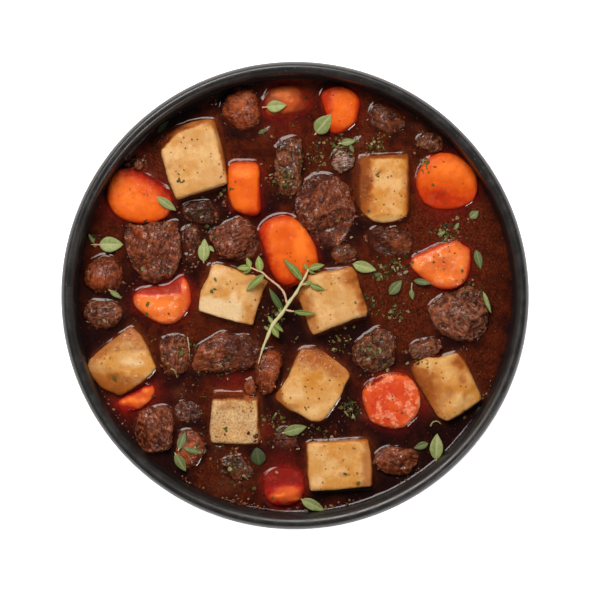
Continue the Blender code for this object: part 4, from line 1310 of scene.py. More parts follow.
# x, y, half-widths and shade of patches: +1 orange-brown glaze, partly a painted highlight, -1 dark
BEEF_PATCHES = {
    1: ((20, 26, 4, 4, 0.7), (3, 36, 2.4, 4, -0.2), (6.5, 44, 4, 3.4, 0.8), (14, 49, 6, 2, -0.3)),
    2: ((-68, 26, 4, 5, 1), (-71, 22, 2, 4, 0.8), (-53, 29, 3, 2, 0.7), (-60, 18, 6, 6, -0.3)),
    3: ((76, -16, 4, 3, 0.5), (62, -4, 3, 3, -0.3)),
    4: ((-38, -24, 4.5, 5, 0.6), (-42.4, -29, 2.4, 3, 0.5), (-27, -23.5, 5, 6, -0.9), (-20, -24, 3.4, 6, -0.8)),
    5: ((-29, 24, 4, 5, 0.45), (-20, 22, 3.5, 6, -0.6)),
    6: ((30, -20, 3, 3, 0.3), (38, -28, 4, 3, -0.6)),
    7: ((-61, -52, 3.4, 2.2, 0.8), (-55.5, -58, 1.8, 5, 0.4), (-63, -57, 3, 2, -0.4)),
    8: (
        (-23.5, 87, 6, 3, 1), (-25.5, 84.6, 3.4, 3, 0.8), (-23.5, 82, 3, 3, 0.7), (-18, 77, 3, 4, 0.4),
        (-28, 75, 4, 3, -0.6),
    ),
    9: ((-83, 9, 5, 4, 0.6), (-77.5, 12, 2.5, 3, -0.3)),
    10: ((-79, -6, 3, 2, 0.4), (-87, -7, 2, 3, -0.3)),
    11: ((-3, 65.4, 7, 3, -0.8), (-2, 62, 4, 3, -0.4), (-1, 47, 3, 2.5, 0.5), (-1, 55.6, 4, 3, -0.5)),
    12: ((-55, -26, 3, 5, -0.4), (-49, -22, 2, 4, 0.2)),
    13: ((-11, -31, 3, 4, 0.6),),
    14: ((44, -71, 10, 5, -0.3),),
    15: ((-45, -66, 4, 5, 0.7), (-42, -72, 2, 2, -0.4)),
    16: ((42, 22, 6, 4, 0.3), (36, 25, 3, 3, -0.5)),
    17: ((-41, 35, 12, 8, -1),),
    19: ((56, -23, 5, 2, 0.3),),
    23: ((-25, -72, 7, 3, -0.9),),
    26: ((-44.5, 24, 2, 3, 0.3), (-49.5, 25, 2.8, 3, -0.6)),
}
# Chunks whose top falls away: towards a heading, by an angle
LEANS = {
    1: (-60, 6), 2: (-80, 5), 3: (-70, 5), 4: (-100, 6), 5: (-35, 22), 7: (-110, 5), 8: (-120, 10), 9: (120, 10),
    10: (-90, 8), 12: (-90, 6), 13: (60, 10), 14: (-90, 8), 15: (-60, 12), 16: (-90, 6), 18: (150, 8),
}
print(f"{len(BEEF_OUTLINES)} outlines")


# %% Tear the tops into faces
def torn_faces(points, number, high):
    """Heights under a few sloping planes, which cut the dome of a chunk into faces, and a tone for each face."""
    corners = np.array(BEEF_OUTLINES[number])
    middle, half = corners.mean(axis=0) * MM, np.ptp(corners, axis=0).mean() / 2 * MM
    ceiling, tone = np.full(len(points), high.z + 1 * MM), np.zeros(len(points))
    luck = lottery(np.array([[number, k, 0] for k in range(16)], np.int64), 4)
    for k in range(4):
        slope = math.tan(math.radians(12 + 26 * luck[k + 4]))
        start = half * (0.05 + 0.55 * luck[k + 8])
        away = along_heading(points, *middle, 90 * k + 70 * luck[k])
        plane = high.z + 0.5 * MM - slope * (away - start) + 0.5 * MM * rolling(points, 2.5, number + 90, 2)
        tone = np.where(plane < ceiling, 0.9 * luck[k + 12] - 0.5, tone)
        ceiling = np.minimum(ceiling, plane)
    above = points[:, 2] > BROTH_LEVEL - 1 * MM
    tone = np.where(above & (points[:, 2] > ceiling - 0.6 * MM), tone, 0)
    return np.where(above, np.maximum(ceiling, BROTH_LEVEL + 0.8 * MM), 1.0), tone


def lean_over(points, middle, toward, dip):
    """Lowers the top on the side of a heading, and raises it a little on the other."""
    away = along_heading(points, middle.x, middle.y, toward)
    lowered = np.maximum(away, -away * 0.35) * math.tan(math.radians(dip))
    points[:, 2] -= lowered * (points[:, 2] > BROTH_LEVEL - 1.5 * MM)


print(f"{len(LEANS)} chunks lean over")


# %% Build each chunk from its outline
STRETCH = 0.80  # how much longer than wide the strands are drawn


def stew_beef(number):
    node = f"beef_{number:02d}"
    heading, finish, dome = BEEF_LOOKS[number]
    low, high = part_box(node)
    outline = soft_polygon(BEEF_OUTLINES[number], 0.9)
    outwards = outline - outline.mean(axis=0)
    outline += outwards * 0.6 * MM / np.linalg.norm(outwards, axis=1)[:, None]
    block = block_mesh(
        outline, max(low.z, BROTH_LEVEL - 7 * MM), BROTH_LEVEL - 1 * MM, high.z + 0.4 * MM, dome
    )
    piece, edges, points = softened_piece(block, f"braised_beef_{number:02d}", 0.46, 2)
    mesh = piece.data
    if number in LEANS:
        lean_over(points, (low + high) / 2, *LEANS[number])
    ceiling, face_tone = torn_faces(points, number, high)
    points[:, 2] = np.minimum(points[:, 2], ceiling)
    points = relaxed(points, edges, 1)
    move_points(mesh, points)
    normals = normals_of(mesh)
    fibre = np.array((*heading_of(heading), 0.5 * math.sin(number * 2.1)))
    fibre /= np.linalg.norm(fibre)
    squeezed = points - (points @ fibre)[:, None] * fibre * STRETCH
    bundle = creased(squeezed, 2.8, number + 1)
    strand = rolling(squeezed, 1.2, number + 2, 3)
    torn = 0.28 * rolling(points, 3.4, number + 3, 2) + 0.26 * (1 - bundle) ** 3 - 0.16 * strand
    side = 1 - np.abs(normals[:, 2])
    inward = -0.2 + 0.75 * rolling(points, 7.0, number, 3) + 0.9 * side * rolling(points, 4.5, number + 9, 3)
    points = push_in(mesh, points, normals, inward + (0.5 if finish is red_beef else 1.0) * torn)
    write_attribute(mesh, "raised", standing_out(points, edges, normals_of(mesh), 7))
    face_tone = relaxed(face_tone, edges, 3)[:, 0]
    patches = shade_of(points, (), BEEF_PATCHES.get(number, ()), number + 60)
    write_attribute(mesh, "shade", face_tone + patches * (1 - np.abs(face_tone)))
    drawn = (points @ fibre)[:, None] * fibre * (STRETCH if number > 2 else 0.45)
    write_attribute(mesh, "fibre", points - drawn, "FLOAT_VECTOR", "vector")
    return finish_piece(piece, node, finish)


beef = [stew_beef(number) for number in range(1, 28)]
print("beef:", count_faces(beef), "faces")

# %% [markdown]
# ## What lies under the broth
# The broth's look depends on what it touches. It climbs a little up every wet side, and where a piece sits
# just below the surface its colour glows through. Both need fast questions to the finished meshes: how far
# is the nearest food, and how deep is the first food straight down. A search tree answers them.


# %% Search trees over the food
def search_tree(pieces):
    points, faces = [], []
    for piece in pieces:
        start = len(points)
        points += [vertex.co.copy() for vertex in piece.data.vertices]
        faces += [[start + i for i in face.vertices] for face in piece.data.polygons]
    return BVHTree.FromPolygons(points, faces)


food_tree = search_tree(potatoes + carrots + beef)
kind_trees = {"potato": search_tree(potatoes), "carrot": search_tree(carrots), "beef": search_tree(beef)}
DOWN = Vector((0, 0, -1))
print("search trees ready")

# %% [markdown]
# ## Broth
# A braise thickened with flour is opaque after a few millimetres, so the broth is a solid with a rich
# surface, which also costs far less to render than real glass-like liquid. Its top is a net of triangles,
# fine beside food and wall and wide in the open. Each point is raised where the broth wets what it touches,
# and lumps that are nearly sunk push it up. On one side fat and ground spice float and make it grainy,
# elsewhere it lies dark and smooth.
# Beside the wall and south of each piece, shade is painted into the broth's colour.

# %% Measure the broth's surroundings
EDGE_RADIUS = LEVEL_RADIUS + 0.12 * MM
GRID = 289
line = np.linspace(-EDGE_RADIUS, EDGE_RADIUS, GRID)
STEP = line[1] - line[0]
FAR, NEAR, DEEP = 8 * MM, 4 * MM, 9 * MM  # how far out and down each search looks
near_food, steepness = np.full((GRID, GRID), FAR), np.zeros((GRID, GRID))
depths = {kind: np.full((GRID, GRID), 1.0) for kind in kind_trees}
beside = {kind: np.full((GRID, GRID), FAR) for kind in kind_trees}
for i, x in enumerate(line):
    for j, y in enumerate(line):
        if x * x + y * y > (EDGE_RADIUS + STEP) ** 2:
            continue
        point = Vector((x, y, BROTH_LEVEL))
        hit, normal, _, away = food_tree.find_nearest(point, FAR)
        if hit is not None:
            near_food[i, j] = -away if (point - hit).dot(normal) < 0 else away
            steepness[i, j] = math.sqrt(max(0.0, 1 - normal.z**2))
        for kind, tree in kind_trees.items():
            hit, _, _, depth = tree.ray_cast(point, DOWN, DEEP)
            if hit is not None:
                depths[kind][i, j] = depth
            hit, _, _, away = tree.find_nearest(point, NEAR)
            if hit is not None:
                beside[kind][i, j] = away
print(f"measured {GRID * GRID} places, {np.mean(near_food < 1 * MM):.0%} of them near food")


# %% Read the measured grid
def softened(field, rounds):
    """A grid of values with its small corners smoothed away."""
    for _ in range(rounds):
        padded = np.pad(field, 1, mode="edge")
        field = (4 * field + padded[2:, 1:-1] + padded[:-2, 1:-1] + padded[1:-1, 2:] + padded[1:-1, :-2]) / 8
    return field


def read_grid(field, points):
    """The grid's value at any points, along smooth curves between its samples."""
    place_on_grid = np.clip((points[:, :2] + EDGE_RADIUS) / STEP, 1, GRID - 3 - 1e-6)
    cell = place_on_grid.astype(int)
    t = place_on_grid - cell
    weights = [-0.5 * t + t**2 - 0.5 * t**3, 1 - 2.5 * t**2 + 1.5 * t**3]
    weights += [0.5 * t + 2 * t**2 - 1.5 * t**3, -0.5 * t**2 + 0.5 * t**3]
    total = np.zeros(len(points))
    for a in range(4):
        for b in range(4):
            total += weights[a][:, 0] * weights[b][:, 1] * field[cell[:, 0] + a - 1, cell[:, 1] + b - 1]
    return total


# The contact line is smoother than the food it follows, as a liquid's is
contact = softened(np.clip(near_food, -3 * MM, FAR), 10)
wall_slope = softened(steepness, 12)
print(f"contact line softened on a grid of {STEP / MM:.2f} mm")

# %% A net that is finer where the broth bends
# Spacing of the points beside food and wall, in the open, and under the food
NET = ((0.38 * MM, -0.5 * MM, 2.1 * MM), (0.70 * MM, 2.1 * MM, 1.0), (2.2 * MM, -1.0, -0.5 * MM))
RIM_POINTS = 1100
turns = np.arange(RIM_POINTS) * 2 * math.pi / RIM_POINTS
parts = [np.stack([np.cos(turns), np.sin(turns)], axis=1) * EDGE_RADIUS]
for spacing, nearest, farthest in NET:
    half = int(EDGE_RADIUS / spacing) + 2
    rows = int(half * 1.2)
    a, b = np.meshgrid(np.arange(-half, half + 1), np.arange(-rows, rows + 1), indexing="ij")
    lattice = np.stack([(a + (b % 2) / 2).ravel() * spacing, b.ravel() * spacing * math.sqrt(0.75)], axis=1)
    lattice = lattice[np.linalg.norm(lattice, axis=1) < EDGE_RADIUS - 0.3 * MM]
    from_edge = np.minimum(read_grid(contact, lattice), EDGE_RADIUS - np.linalg.norm(lattice, axis=1))
    parts.append(lattice[(from_edge >= nearest) & (from_edge < farthest)])
net = delaunay_2d_cdt([Vector(point) for point in np.concatenate(parts)], [], [], 0, 1e-9, False)
surface = np.array([(*point, BROTH_LEVEL) for point in net[0]])
triangles = [list(face) for face in net[2]]
print(f"{len(surface)} points and {len(triangles)} triangles")

# %% Zones, lumps and glows of the broth
# x, y, radius and tone: from -1, dark and smooth broth and partly painted shade, to +1, rusty and grainy
ZONES = (
    (-40, 45, 6, -1), (-33, 40, 6, -1), (-15, 36, 5, -1), (-72, 66, 6, -0.3), (-61, 62, 7, 0.9), (-25, 68, 8, -0.15),
    (-10, 72, 10, -0.1), (-80, 27, 6, 0.3), (-50, 33, 5, -0.8), (-48, 12, 4, -1), (-70, 4, 4, -0.9),
    (-33, 12, 3, -0.3), (-35, 90, 9, -0.5), (5, 92, 6, 0.6), (-2, 93, 4, 0.8), (8, 60, 9, 0.2), (2, 78, 6, -0.3),
    (30, 75, 8, 0.7), (30, 30, 7, -1), (10, 19, 4, -1), (28, 36, 4, -0.9), (56, 29, 12, 1), (56, 40, 6, 0.5),
    (80, 32, 10, 1), (86, 15, 8, 0.8), (78, 25, 8, 0.7), (38, 8, 9, 0.8), (30, 20, 6, 0), (66, 76, 6, -1),
    (80, 58, 6, -1), (50, 66, 5, 0.2), (-84, -18, 8, -1), (-92, -30, 6, -1), (-47, -12, 8, 0.5), (-35, -12, 6, 0.3),
    (-28, -36, 7, 0.3), (-45, -38, 8, -0.3), (-52, -42, 6, -0.8), (-75, -55, 5, -0.3), (-62, -74, 10, -1),
    (-36, -62, 5, -0.6), (-30, -84, 12, 0.5), (-12, -68, 6, -0.6), (-12, -50, 5, -0.7), (20, -16, 10, -1),
    (52, -11, 10, 1), (52, -29, 5, -0.9), (66, -20, 4, -1), (82, -28, 9, 0.7), (74, -57, 9, -1), (50, -60, 11, -1),
    (25, -48, 6, -1), (22, -56, 6, -1), (-2, -66, 5, -0.6), (-18, -50, 4, -0.9), (5, -60, 8, -0.7), (40, -86, 12, -1),
    (56, -76, 6, -1), (0, -92, 8, -0.9), (-30, -35, 5, -0.6), (3, 5, 6, -0.8), (-9, -8, 6, -0.8), (89, -5, 6, 0.5),
    (-2, -6, 5, -1), (2, -17, 6, -1), (-74, 56, 6, 1), (-67, 56, 5, 1), (-84, 42, 5, 0.7),
)
# x, y, long, short, turn, rise: lumps that hardly break the surface
SUNK = (
    (54, 72, 8, 4, -35, 0.5), (-45, 17.5, 7, 6, 0, 0.9), (-29, -82, 18, 9, 10, 0.6), (-67.5, 56, 6, 4, 20, 1),
    (-33, -66, 6, 5, 0, 0.7), (-18, -60, 7, 5, 30, 0.5), (28, 66, 7, 5, 0, 0.6), (-12, 70, 8, 5, 40, 0.5),
    (46, 8, 5, 4, 0, 0.5), (30, -52, 6, 4, 0, 0.4), (-50, -42, 6, 5, 15, 0.5), (-36, 12, 5, 4, 0, 0.6),
)
# x, y, radius and strength of red glows, where food lies a little way under
EMBERS = (
    (-67, -43.5, 9, 1), (-70, -50, 6, 0.6), (-58, 5, 7, 0.9), (-26, -38.5, 9, 0.8), (57, -47, 5, 0.8),
    (-5, -72, 7, 0.6), (-57, 47, 5, 0.5), (-4, 77, 10, 0.5), (-70, 56, 7, 0.5), (-82, 40, 7, 0.7), (65, 37, 9, 0.6),
    (-12, 9, 4, 0.5), (-77, -44, 6, 0.6), (-15, 53, 4, 0.4), (-44, 0, 4, 0.6), (20, 88, 8, 0.3), (-13, -57, 4, 0.7),
    (45, -56, 5, 0.2),
)


def away_from(points, x, y, radius):
    """The square of the distance from x, y in radii, for points in metres and the rest in millimetres."""
    return (np.hypot(points[:, 0] / MM - x, points[:, 1] / MM - y) / radius) ** 2


def blended(points, blobs):
    """The tone of the nearest blobs, each counting the more the nearer it is."""
    total, weight = np.zeros(len(points)), np.full(len(points), 0.08)
    for x, y, radius, value in blobs:
        share = np.exp(-away_from(points, x, y, radius))
        total, weight = total + share * value, weight + share
    return total / weight


near_food = np.maximum(read_grid(contact, surface), 0)
to_wall = EDGE_RADIUS - np.linalg.norm(surface[:, :2], axis=1)
uneven = rolling(surface, 9, 3)
zone = blended(surface, ZONES) + 0.35 * uneven + 0.4 * rolling(surface, 4, 14, 2)
# Beside the wall and south of each piece the broth lies in shade
zone = zone - 1.1 * np.exp(-to_wall / (2.6 * MM))
touching = softened(np.clip(1 - contact / (2 * MM), 0, 1), 6)
shaded = sum(read_grid(touching, surface + np.array((0, drop * MM, 0))) for drop in (2, 4)) / 2
zone = zone - 0.7 * np.clip(shaded, 0, 1) * np.clip(near_food / (0.5 * MM), 0, 1)
grainy, darkness = np.clip(zone, 0, 1), np.clip(-zone, 0, 1)
ember = np.zeros(len(surface))
for x, y, radius, value in EMBERS:
    ember = np.maximum(ember, value * np.exp(-away_from(surface, x, y, radius) * (1 + 0.5 * uneven)))
print(f"{np.mean(grainy > 0.3):.0%} of the points are grainy, {np.mean(darkness > 0.3):.0%} dark")

# %% Raise the surface
WET_HEIGHT, WET_REACH = 0.68 * MM, 0.80 * MM
lump, lump_height = np.zeros(len(surface)), np.zeros(len(surface))
for x, y, long, short, turn, up in SUNK:
    east, north = heading_of(turn)
    across = surface[:, :2] / MM - (x, y)
    first = (across[:, 0] * east + across[:, 1] * north) / (long / 2)
    second = (across[:, 1] * east - across[:, 0] * north) / (short / 2)
    here = np.exp(-((first**2 + second**2) ** 1.4))
    lump = np.maximum(lump, here)
    lump_height = np.maximum(lump_height, here * up * 0.7)
open_broth = np.clip(near_food / (1.8 * MM), 0, 1) * np.clip(to_wall / (1.8 * MM), 0, 1)
grain_height = grainy * (0.07 * rolling(surface, 1.7, 5, 2) + 0.06 * (1 - creased(surface, 2.2, 6)))
height = lump_height * (1 + 0.4 * rolling(surface, 1.8, 7, 2)) + grain_height + 0.10 * rolling(surface, 16, 8, 1)
height = height * open_broth + 0.02 * rolling(surface, 5, 9, 2)
at_food = read_grid(wall_slope, surface) * np.exp(-near_food / WET_REACH)
rise = WET_HEIGHT * np.maximum(at_food, np.exp(-to_wall / WET_REACH))
rise = rise * (1 + 0.22 * rolling(surface, 6, 13, 2))
surface[:, 2] = BROTH_LEVEL + rise + height * MM
# How deep a glow reaches up from each kind of food, and how strong it is beside it
GLOWS = {"potato": (1.5 * MM, 0.75), "carrot": (1.5 * MM, 0.80), "beef": (1.0 * MM, 0.5)}
glows = {}
for kind, (reach, strength) in GLOWS.items():
    under = np.maximum(np.exp(-depths[kind] / reach), strength * np.exp(-beside[kind] / (0.9 * MM)))
    glow = read_grid(softened(under, 3), surface) * (1 + 0.5 * rolling(surface, 3, 12, 2))
    glows[f"{kind}_glow"] = np.clip(glow, 0, 1)
print(f"the broth rises {rise.max() / MM:.2f} mm at its edges, {height.max():.2f} mm at the highest lump")

# %% Close the broth below
# Height and radius of the hidden rings under the surface
HIDDEN = ((40, LEVEL_RADIUS - 0.4 * MM), (30, LEVEL_RADIUS - 3.0 * MM), (16, 80 * MM), (8.2, 62 * MM))
layers, side_faces = [surface], []
previous = np.arange(RIM_POINTS)
bearing = surface[previous, :2] / np.linalg.norm(surface[previous, :2], axis=1)[:, None]
for level, radius in HIDDEN:
    current = np.arange(RIM_POINTS) + sum(len(part) for part in layers)
    layers.append(np.concatenate([bearing * radius, np.full((RIM_POINTS, 1), level * MM)], axis=1))
    side_faces.append(np.stack([previous, current, np.roll(current, -1), np.roll(previous, -1)], axis=1))
    previous = current
broth_faces = [*triangles, *np.concatenate(side_faces).tolist(), previous[::-1].tolist()]
broth_mesh = new_mesh("broth_surface", np.concatenate(layers).tolist(), broth_faces)
hidden = np.zeros(len(broth_mesh.vertices) - len(surface))
looks = glows | {"grainy": grainy * open_broth, "darkness": darkness, "lump": lump, "ember": ember}
for name, values in looks.items():
    write_attribute(broth_mesh, name, np.concatenate([values, hidden]))
print(f"broth: {len(broth_faces)} faces")

# %% Broth finish
gravy = Finish("braising_broth")
grainy_here = gravy.attribute("grainy")
gravy.colour = gravy.drift(5, 0.38, 0.64, (0.036, 0.0060, 0.0026), (0.086, 0.0120, 0.0032))["Colour"]
gravy.paint(grainy_here, (0.094, 0.0135, 0.0040), 0.7)
for name, strength, colour in (
    # dark broth, with painted shade beside the wall and south of each piece
    ("darkness", 0.93, (0.0110, 0.0030, 0.0032)),
    ("lump", 0.6, (0.110, 0.026, 0.010)),
    ("beef_glow", 0.60, (0.080, 0.017, 0.007)),
    ("ember", 0.85, (0.150, 0.0095, 0.0055)),
    ("potato_glow", 0.85, (0.20, 0.036, 0.008)),
    ("carrot_glow", 0.90, (0.27, 0.013, 0.007)),
):
    gravy.paint(gravy.attribute(name), colour, strength)
grains = gravy.drift(0.75, 0.34, 0.68, (0.42, 0.36, 0.36), (1.75, 2.2, 2.5), 2.0)
grained = gravy.blend(1.0, gravy.colour, grains["Colour"], "MULTIPLY")
gravy.paint(gravy.plus(gravy.times(grainy_here, 0.55), 0.35), grained)
gravy.paint(gravy.specks(1.2, 0.24, 0.30, 9, 0.42), (0.19, 0.050, 0.014), 0.65)
gravy.paint(gravy.specks(1.9, 0.30, 0.30, 14, 0.46), (0.012, 0.0040, 0.0030), 0.7)
floating = gravy.times(gravy.relief(1.2, 1.6, 0.8), gravy.plus(grainy_here, 0.04))
gravy_finish = gravy.done(
    Roughness=gravy.spread(grainy_here, 0.0, 1.0, 0.06, 0.12),
    Normal=gravy.bump(floating, 0.35, 0.18),
    IOR=1.36,
    Specular_IOR_Level=0.45,
)
broth = new_object("broth_surface", broth_mesh, gravy_finish)
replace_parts(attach(broth, "root"), "broth")

# %% [markdown]
# ## Leaves of thyme
# A thyme leaf is a pointed oval, folded a little along its midrib, with its tip curling down. It is built as
# a thin closed shell from two sheets that meet at the rim, so it looks right from below too. Many leaves
# share one mesh. Each point keeps its distance from the midrib and its leaf's own tone for the finish.


# %% Small solids gathered in one mesh
class Pile:
    """Gathers many small solids, then makes one mesh of them with named values at the points."""

    def __init__(self):
        self.points, self.faces, self.values = [], [], {}

    def put(self, points, faces, **values):
        start = len(self.points)
        self.points += [tuple(point) for point in points]
        self.faces += [[start + i for i in face] for face in faces]
        for name, value in values.items():
            per_point = value if isinstance(value, list) else [value] * len(points)
            self.values.setdefault(name, []).extend(per_point)

    def build(self, name, material, node=None, smooth=True):
        mesh = new_mesh(name, self.points, self.faces)
        for key, values in self.values.items():
            write_attribute(mesh, key, values)
        made = new_object(name, mesh, material, smooth)
        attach(made, "root")
        if node:
            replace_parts(made, node)
        print(f"{name}: {len(self.faces)} faces")


top_tree = search_tree(potatoes + carrots + beef + [broth])


def ground(x, y):
    """Where a thing dropped at x, y (millimetres) comes to lie: the point and the slope's normal there."""
    hit, normal, _, _ = top_tree.ray_cast(Vector((x * MM, y * MM, 0.2)), DOWN)
    if hit is None:
        return Vector((x * MM, y * MM, BROTH_LEVEL)), Vector((0, 0, 1))
    return hit, normal if normal.z > 0 else -normal


print(f"the middle of the stew is {ground(0, 0)[0].z / MM:.1f} mm high")


# %% A leaf and a stem
LEAF_ROWS, HALF_COLUMNS = 11, 3
LEAF_THICKNESS = 0.28 * MM


def rim_of(rows):
    """The numbers of the points round the edge of a sheet."""
    return rows[0] + [row[-1] for row in rows[1:]] + rows[-1][-2::-1] + [row[0] for row in rows[-2:0:-1]]


def put_leaf(pile, foot, tip, breadth_mm, tone, fold, curl, roll):
    """A leaf from foot to tip. fold lifts its halves to a V, curl bows it upwards in the middle."""
    along = tip - foot
    length = along.length
    along.normalize()
    side = Vector((0, 0, 1)).cross(along).normalized()
    side.rotate(Matrix.Rotation(roll, 3, along))
    up = along.cross(side)
    points, sheets, across_values, along_values = [], [], [], []
    for sheet in (1, -1):
        rows = []
        for i in range(LEAF_ROWS):
            u = i / (LEAF_ROWS - 1)
            half = breadth_mm * MM / 2 * max(0.05, math.sin(math.pi * u**0.85) ** 0.8 * (1 - 0.12 * u))
            rows.append([len(points) + j for j in range(2 * HALF_COLUMNS + 1)])
            for j in range(-HALF_COLUMNS, HALF_COLUMNS + 1):
                v = j / HALF_COLUMNS
                lift = fold * abs(v) * half - 0.25 * fold * half * v * v
                lift += curl * length * (4 * u * (1 - u)) - 0.03 * length * u * u
                shell = LEAF_THICKNESS / 2 * (0.35 + 0.65 * (1 - v * v)) * sheet
                vein = 0.04 * half * math.cos(u * 40) * abs(v)
                points.append(foot + along * (u * length) + side * (v * half) + up * (lift + shell + vein))
                across_values.append(abs(v))
                along_values.append(u)
        sheets.append(rows)
    faces = []
    for rows, flip in zip(sheets, (False, True)):
        for low, high in zip(rows, rows[1:]):
            for j in range(2 * HALF_COLUMNS):
                face = [low[j], low[j + 1], high[j + 1], high[j]]
                faces.append(face[::-1] if flip else face)
    top, bottom = (rim_of(rows) for rows in sheets)
    for k in range(len(top)):
        n = (k + 1) % len(top)
        faces.append([top[k], bottom[k], bottom[n], top[n]])
    pile.put(points, faces, tone=tone, across=across_values, along=along_values, stalk=0.0)


def put_tube(pile, route, radii, tone, sides=8):
    """A round stem along a list of points, with a radius at each, closed at both ends."""
    points = []
    side = Vector((0, 0, 1))
    for i, point in enumerate(route):
        way = (route[min(i + 1, len(route) - 1)] - route[max(i - 1, 0)]).normalized()
        side = (side - way * side.dot(way)).normalized()
        other = way.cross(side)
        for k in range(sides):
            angle = 2 * math.pi * k / sides
            points.append(point + (side * math.cos(angle) + other * math.sin(angle)) * radii[i])
    pile.put(points, ring_faces(len(route), sides), tone=tone, across=0.5, along=0.5, stalk=1.0)


def smooth_route(corners, per_step=5):
    """A curve through the corners, as a list of points."""
    padded = [corners[0], *corners, corners[-1]]
    route = []
    for around in zip(padded, padded[1:], padded[2:], padded[3:]):
        route += [curve_point(*around, step / per_step) for step in range(per_step)]
    return [*route, corners[-1]]


print(f"a leaf has {2 * LEAF_ROWS * (2 * HALF_COLUMNS + 1)} points")


# %% Thyme finish
def make_leaf_finish(name, pale, deep, stem, roughness):
    leaf = Finish(name)
    tone, across, along = (leaf.attribute(key) for key in ("tone", "across", "along"))
    faded = (pale[0] * 0.72, pale[1] * 0.78, pale[2] * 0.6)
    leaf.colour = leaf.drift(1.8, 0.4, 0.65, pale, faded)["Colour"]
    leaf.paint(tone, deep)
    veins = leaf.maths("SINE", leaf.plus(leaf.times(along, 46.0), leaf.times(across, -7.0)), 0.0)
    fresh = leaf.times(leaf.minus(1.0, tone), 0.22)
    leaf.paint(leaf.times(leaf.spread(veins, 0.55, 1.0), fresh), stem)
    midrib = leaf.minus(0.85, leaf.times(tone, 0.8))
    leaf.paint(leaf.times(leaf.spread(across, 0.22, 0.02), midrib), stem)
    leaf.paint(leaf.spread(across, 0.86, 1.0), deep, 0.3)
    woody = leaf.blend(leaf.spread(tone, 0.0, 0.5), (0.70, 0.42, 0.28), (0.60, 0.58, 0.30))
    woody = leaf.blend(leaf.spread(tone, 0.5, 0.8), woody, (0.30, 0.25, 0.10))
    leaf.paint(leaf.attribute("stalk"), woody)
    fine = leaf.relief(0.45, 0.5, 0.8)
    leaf.feed(Subsurface_Weight=0.12, Subsurface_Scale=0.001, Subsurface_Radius=(0.5, 1.0, 0.3))
    return leaf.done(
        Roughness=leaf.spread(fine, 0.4, 1.0, roughness, roughness + 0.15),
        Normal=leaf.bump(leaf.plus(fine, leaf.times(veins, 0.3)), 0.4, 0.08),
        Specular_IOR_Level=0.22,
    )


thyme = make_leaf_finish("fresh_thyme", (0.29, 0.36, 0.085), (0.036, 0.068, 0.014), (0.48, 0.50, 0.20), 0.42)
wet_thyme = make_leaf_finish("wet_thyme", (0.36, 0.42, 0.16), (0.030, 0.045, 0.014), (0.50, 0.50, 0.25), 0.34)

# %% [markdown]
# ## The sprig
# A sprig of thyme lies over the middle of the stew: one thin stem that forks, with leaves in pairs. The stem
# is a tube along a curve through a few measured points, thickest at its foot, a little thicker at each knot.
# It rests on the tops of the pieces, so each leaf looks down first and stays clear of what is under it.

# %% Stems and leaves of the sprig
# x, y and height over the broth (mm) of the corners of each stem
STEMS = (
    (
        (-15.8, -29.5, 6.2), (-13.9, -22.8, 6.6), (-11.5, -17, 6.9), (-9.4, -12.3, 7), (-5.8, -7.9, 7.2),
        (-2.4, -2.7, 7.4), (0.5, 1.2, 7.5), (2.6, 5, 7.5), (4.3, 7.9, 7.4), (5.8, 11.3, 7.3),
    ),
    (
        (-3.4, -3.4, 7.3), (-4.8, 1.2, 7.5), (-7.2, 4.1, 7.6), (-9.6, 6, 7.6), (-12, 7.9, 7.6), (-13.9, 9.8, 7.6),
        (-16.3, 10.8, 7.6), (-19.2, 12, 7.4),
    ),
    ((2.4, 4.6, 7.5), (4.6, 4.9, 7.5), (6.4, 5, 7.4)), ((-4.6, -6, 7.2), (-2.4, -6.6, 7), (-0.6, -6.8, 6.8)),
)
sprig = Pile()
stem_routes = []
for number, corners in enumerate(STEMS):
    route = smooth_route([Vector((x * MM, y * MM, BROTH_LEVEL + z * MM)) for x, y, z in corners])
    radii = []
    for i in range(len(route)):
        taper = 1 - 0.3 * i / len(route)
        if number == 0:
            taper = (2.05 - 1.20 * i / len(route)) * min(1.0, 0.12 + 0.07 * i)
        radii.append((0.50 + 0.07 * math.cos(i / 5 * 2 * math.pi)) * taper * MM)
    put_tube(sprig, route, radii, 0.45 if number == 0 else 0.1)
    stem_routes += route
# foot x, y, tip x, y, breadth, tone
SPRIG_LEAVES = (
    (-19.6, 12.4, -20.7, 16.2, 2.6, 0.1), (-19.6, 12.4, -25, 11.8, 2.8, 0.2), (-18.6, 11.8, -22.4, 9.4, 2.2, 0.4),
    (-14.8, 10.2, -15.7, 17, 3.8, 0.12), (-13.5, 8.8, -21, 2, 3.4, 0.35), (2.2, 7, -4.8, 15.7, 3.6, 0.5),
    (5.8, 11.4, 12.6, 13.2, 3.2, 0.35), (5.6, 11, 4, 13.8, 1.8, 0.3), (6, 10.6, 8.6, 9.4, 1.8, 0.3),
    (6.2, 5, 12.8, 2.4, 2.8, 0.35), (3, 4.8, 7.5, 5.8, 1.8, 0.3), (-5.4, -7, -11.2, 3.2, 3, 0.9),
    (-0.6, -6.6, 8.8, -7.8, 2.6, 0.45), (-5.9, -8.4, -7.2, -3.9, 1.5, 0.2), (-9.5, -12.4, -11.6, -8.8, 1.9, 0.3),
    (-9.2, -13.4, -7, -18.2, 3, 0.25), (-9, -12.8, -5, -15.6, 2.4, 0.55), (-10.6, -15.4, -13.4, -13.2, 1.6, 0.5),
)
HIGHEST_TIP = 50.4 * MM
chance = random.Random(11)
